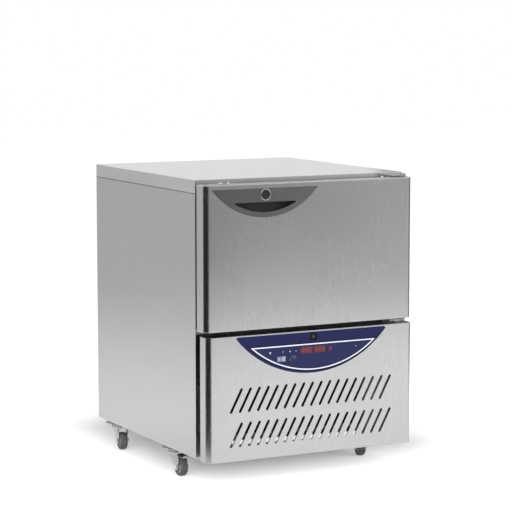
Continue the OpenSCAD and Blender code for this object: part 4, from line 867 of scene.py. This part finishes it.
# Points in plan at the door's left and right edges and in the middle of its front
LEFT_EDGE, RIGHT_EDGE, FRONT_MIDDLE = (-0.31, -0.33), (0.31, -0.33), (0, -0.34)
SCREEN_STEPS = 24


def stage_sheet(name, verts, faces, material):
    """Adds a flat surface that belongs to the studio and not to the part."""
    mesh = bpy.data.meshes.new(name)
    mesh.from_pydata(verts, [], faces)
    mesh.materials.append(material)
    made = add_object(name, mesh)
    return made


def reflected_only(name, verts, faces, level, between=None, axis="X"):
    """A studio surface that only reflections see. It glows at one level, or goes from the
    first of two levels to the second between two places on an axis."""
    t = Tree(name)
    if between:
        level = t.span(t.split(t.place())[axis], *between, *level)
    glow = t.node("ShaderNodeEmission", {"Color": WHITE, "Strength": level})
    made = stage_sheet(name, verts, faces, t.end(glow))
    made.visible_camera = False
    made.visible_diffuse = False
    made.visible_shadow = False
    made.visible_transmission = False
    return made


def screen(name, centre, radius, angles, heights, level, between=None):
    """An upright curved card round a point in plan, seen in reflections. Its two angles are
    from straight in front, positive to the left, in degrees."""
    start, end = angles
    verts, faces = [], []
    for i in range(SCREEN_STEPS + 1):
        a = math.radians(start + (end - start) * i / SCREEN_STEPS)
        x, y = centre[0] - math.sin(a) * radius, centre[1] - math.cos(a) * radius
        verts += [(x, y, height) for height in heights]
    for i in range(SCREEN_STEPS):
        faces.append((2 * i, 2 * i + 2, 2 * i + 3, 2 * i + 1))
    reflected_only(name, verts, faces, level, between)


def card(name, centre, toward, size, level, between=None):
    """A flat upright card that faces a point, seen in reflections. Its levels go upwards."""
    w, h = size[0] / 2, size[1] / 2
    made = reflected_only(name, [(-w, -h, 0), (w, -h, 0), (w, h, 0), (-w, h, 0)],
                          [(0, 1, 2, 3)], level, between, "Y")
    made.location = centre
    point_at(made, toward, "Z")


def around(angle, distance, height):
    """A point at an angle from straight in front, positive to the left, in degrees."""
    a = math.radians(angle)
    return (-math.sin(a) * distance, -math.cos(a) * distance, height)


def make_floor():
    """White floor that takes the cabinet's cast shadow. To the camera it also glows more the
    farther it is from the shaded middle, so the dimmer floor round that middle, under and behind
    the right of the cabinet, is painted shadow added to the cast one."""
    t = Tree("floor_white")
    split = t.split(t.place())
    beyond = []
    for axis, middle, half in zip("XY", SHADED_MIDDLE, SHADED_HALF):
        offset = t.math("SUBTRACT", split[axis], middle)
        outside = t.math("SUBTRACT", t.math("ABSOLUTE", offset), half)
        beyond.append(t.math("MAXIMUM", outside, 0.0))
    path = t.node("ShaderNodeLightPath").outputs
    # Painted shadow: to the camera the glow is held back near the shaded rectangle.
    glow = t.math("MULTIPLY", path["Is Camera Ray"],
                  t.span(t.length(*beyond), 0.0, FLOOR_REACH, *FLOOR_GLOW))
    mirrored = t.math("ADD", t.span(split["Y"], *MIRRORED_FRONT),
                      t.span(split["Y"], *MIRRORED_BACK))
    glow = t.math("MULTIPLY_ADD", path["Is Glossy Ray"], mirrored, glow)
    tone = t.noise(t.place(), 6.0, 3)
    white = t.blend(t.even(tone), (0.80, 0.80, 0.80), (0.82, 0.82, 0.82))
    diffuse = t.node("ShaderNodeBsdfDiffuse", {"Color": white})
    lift = t.node("ShaderNodeEmission", {"Color": WHITE, "Strength": glow})
    both = t.node("ShaderNodeAddShader", {0: diffuse.outputs[0], 1: lift.outputs[0]})
    s = FLOOR_HALF
    stage_sheet("floor", [(-s, -s, 0), (s, -s, 0), (s, s, 0), (-s, s, 0)], [(0, 1, 2, 3)],
                t.end(both))


def make_world():
    """White to the camera, reflections and see-through rays, and dim as a light."""
    t = Tree("studio", world=True)
    path = t.node("ShaderNodeLightPath").outputs
    seen = t.math("MAXIMUM", path["Is Camera Ray"], path["Is Glossy Ray"])
    seen = t.math("MAXIMUM", seen, path["Is Transmission Ray"])
    level = t.span(seen, 0.0, 1.0, WORLD_DIFFUSE, 1.0)
    bpy.context.scene.world = t.end(
        t.node("ShaderNodeBackground", {"Color": WHITE, "Strength": level}))


def softbox(name, location, target, size, watts):
    """A rectangular lamp that reflections don't see."""
    data = bpy.data.lights.new(name, "AREA")
    data.shape = "RECTANGLE"
    data.size, data.size_y = size
    data.energy = watts
    lamp = add_object(name, data)
    lamp.location = location
    lamp.visible_glossy = False
    point_at(lamp, target, "-Z")


def make_studio():
    """The screens give the metal its dark edges and its grey slopes; the lamps its light."""
    make_floor()
    make_world()
    screen("dark_screen", LEFT_EDGE, radius=0.42, angles=(-6, 116), heights=(0.0, 0.86),
           level=0.025)
    screen("grey_screen", FRONT_MIDDLE, radius=3.0, angles=(-62, -15), heights=(0.0, 1.5),
           level=(0.20, 0.62), between=(1.09, 1.69))
    screen("right_screen", RIGHT_EDGE, radius=1.5, angles=(-152, -80), heights=(0.0, 1.2),
           level=0.12)
    card("side_card", around(152, 1.8, 0.75), toward=(0, 0, 0.75), size=(1.5, 1.5),
         level=(0.98, 0.63), between=(-0.75, -0.48))
    softbox("overhead", (0.0, -1.2, 3.0), target=(0, 0, 0.4), size=(2.6, 2.0), watts=34)
    softbox("key", (-2.0, -2.3, 1.5), target=(0, 0, 0.1), size=(2.6, 2.6), watts=92)
    softbox("fill", (2.0, -2.4, 1.3), target=(0, 0, 0.2), size=(2.2, 2.0), watts=44)
    bpy.context.scene.view_settings.view_transform = "Standard"


make_camera()
dress_cad_nodes()
make_pieces()
make_studio()
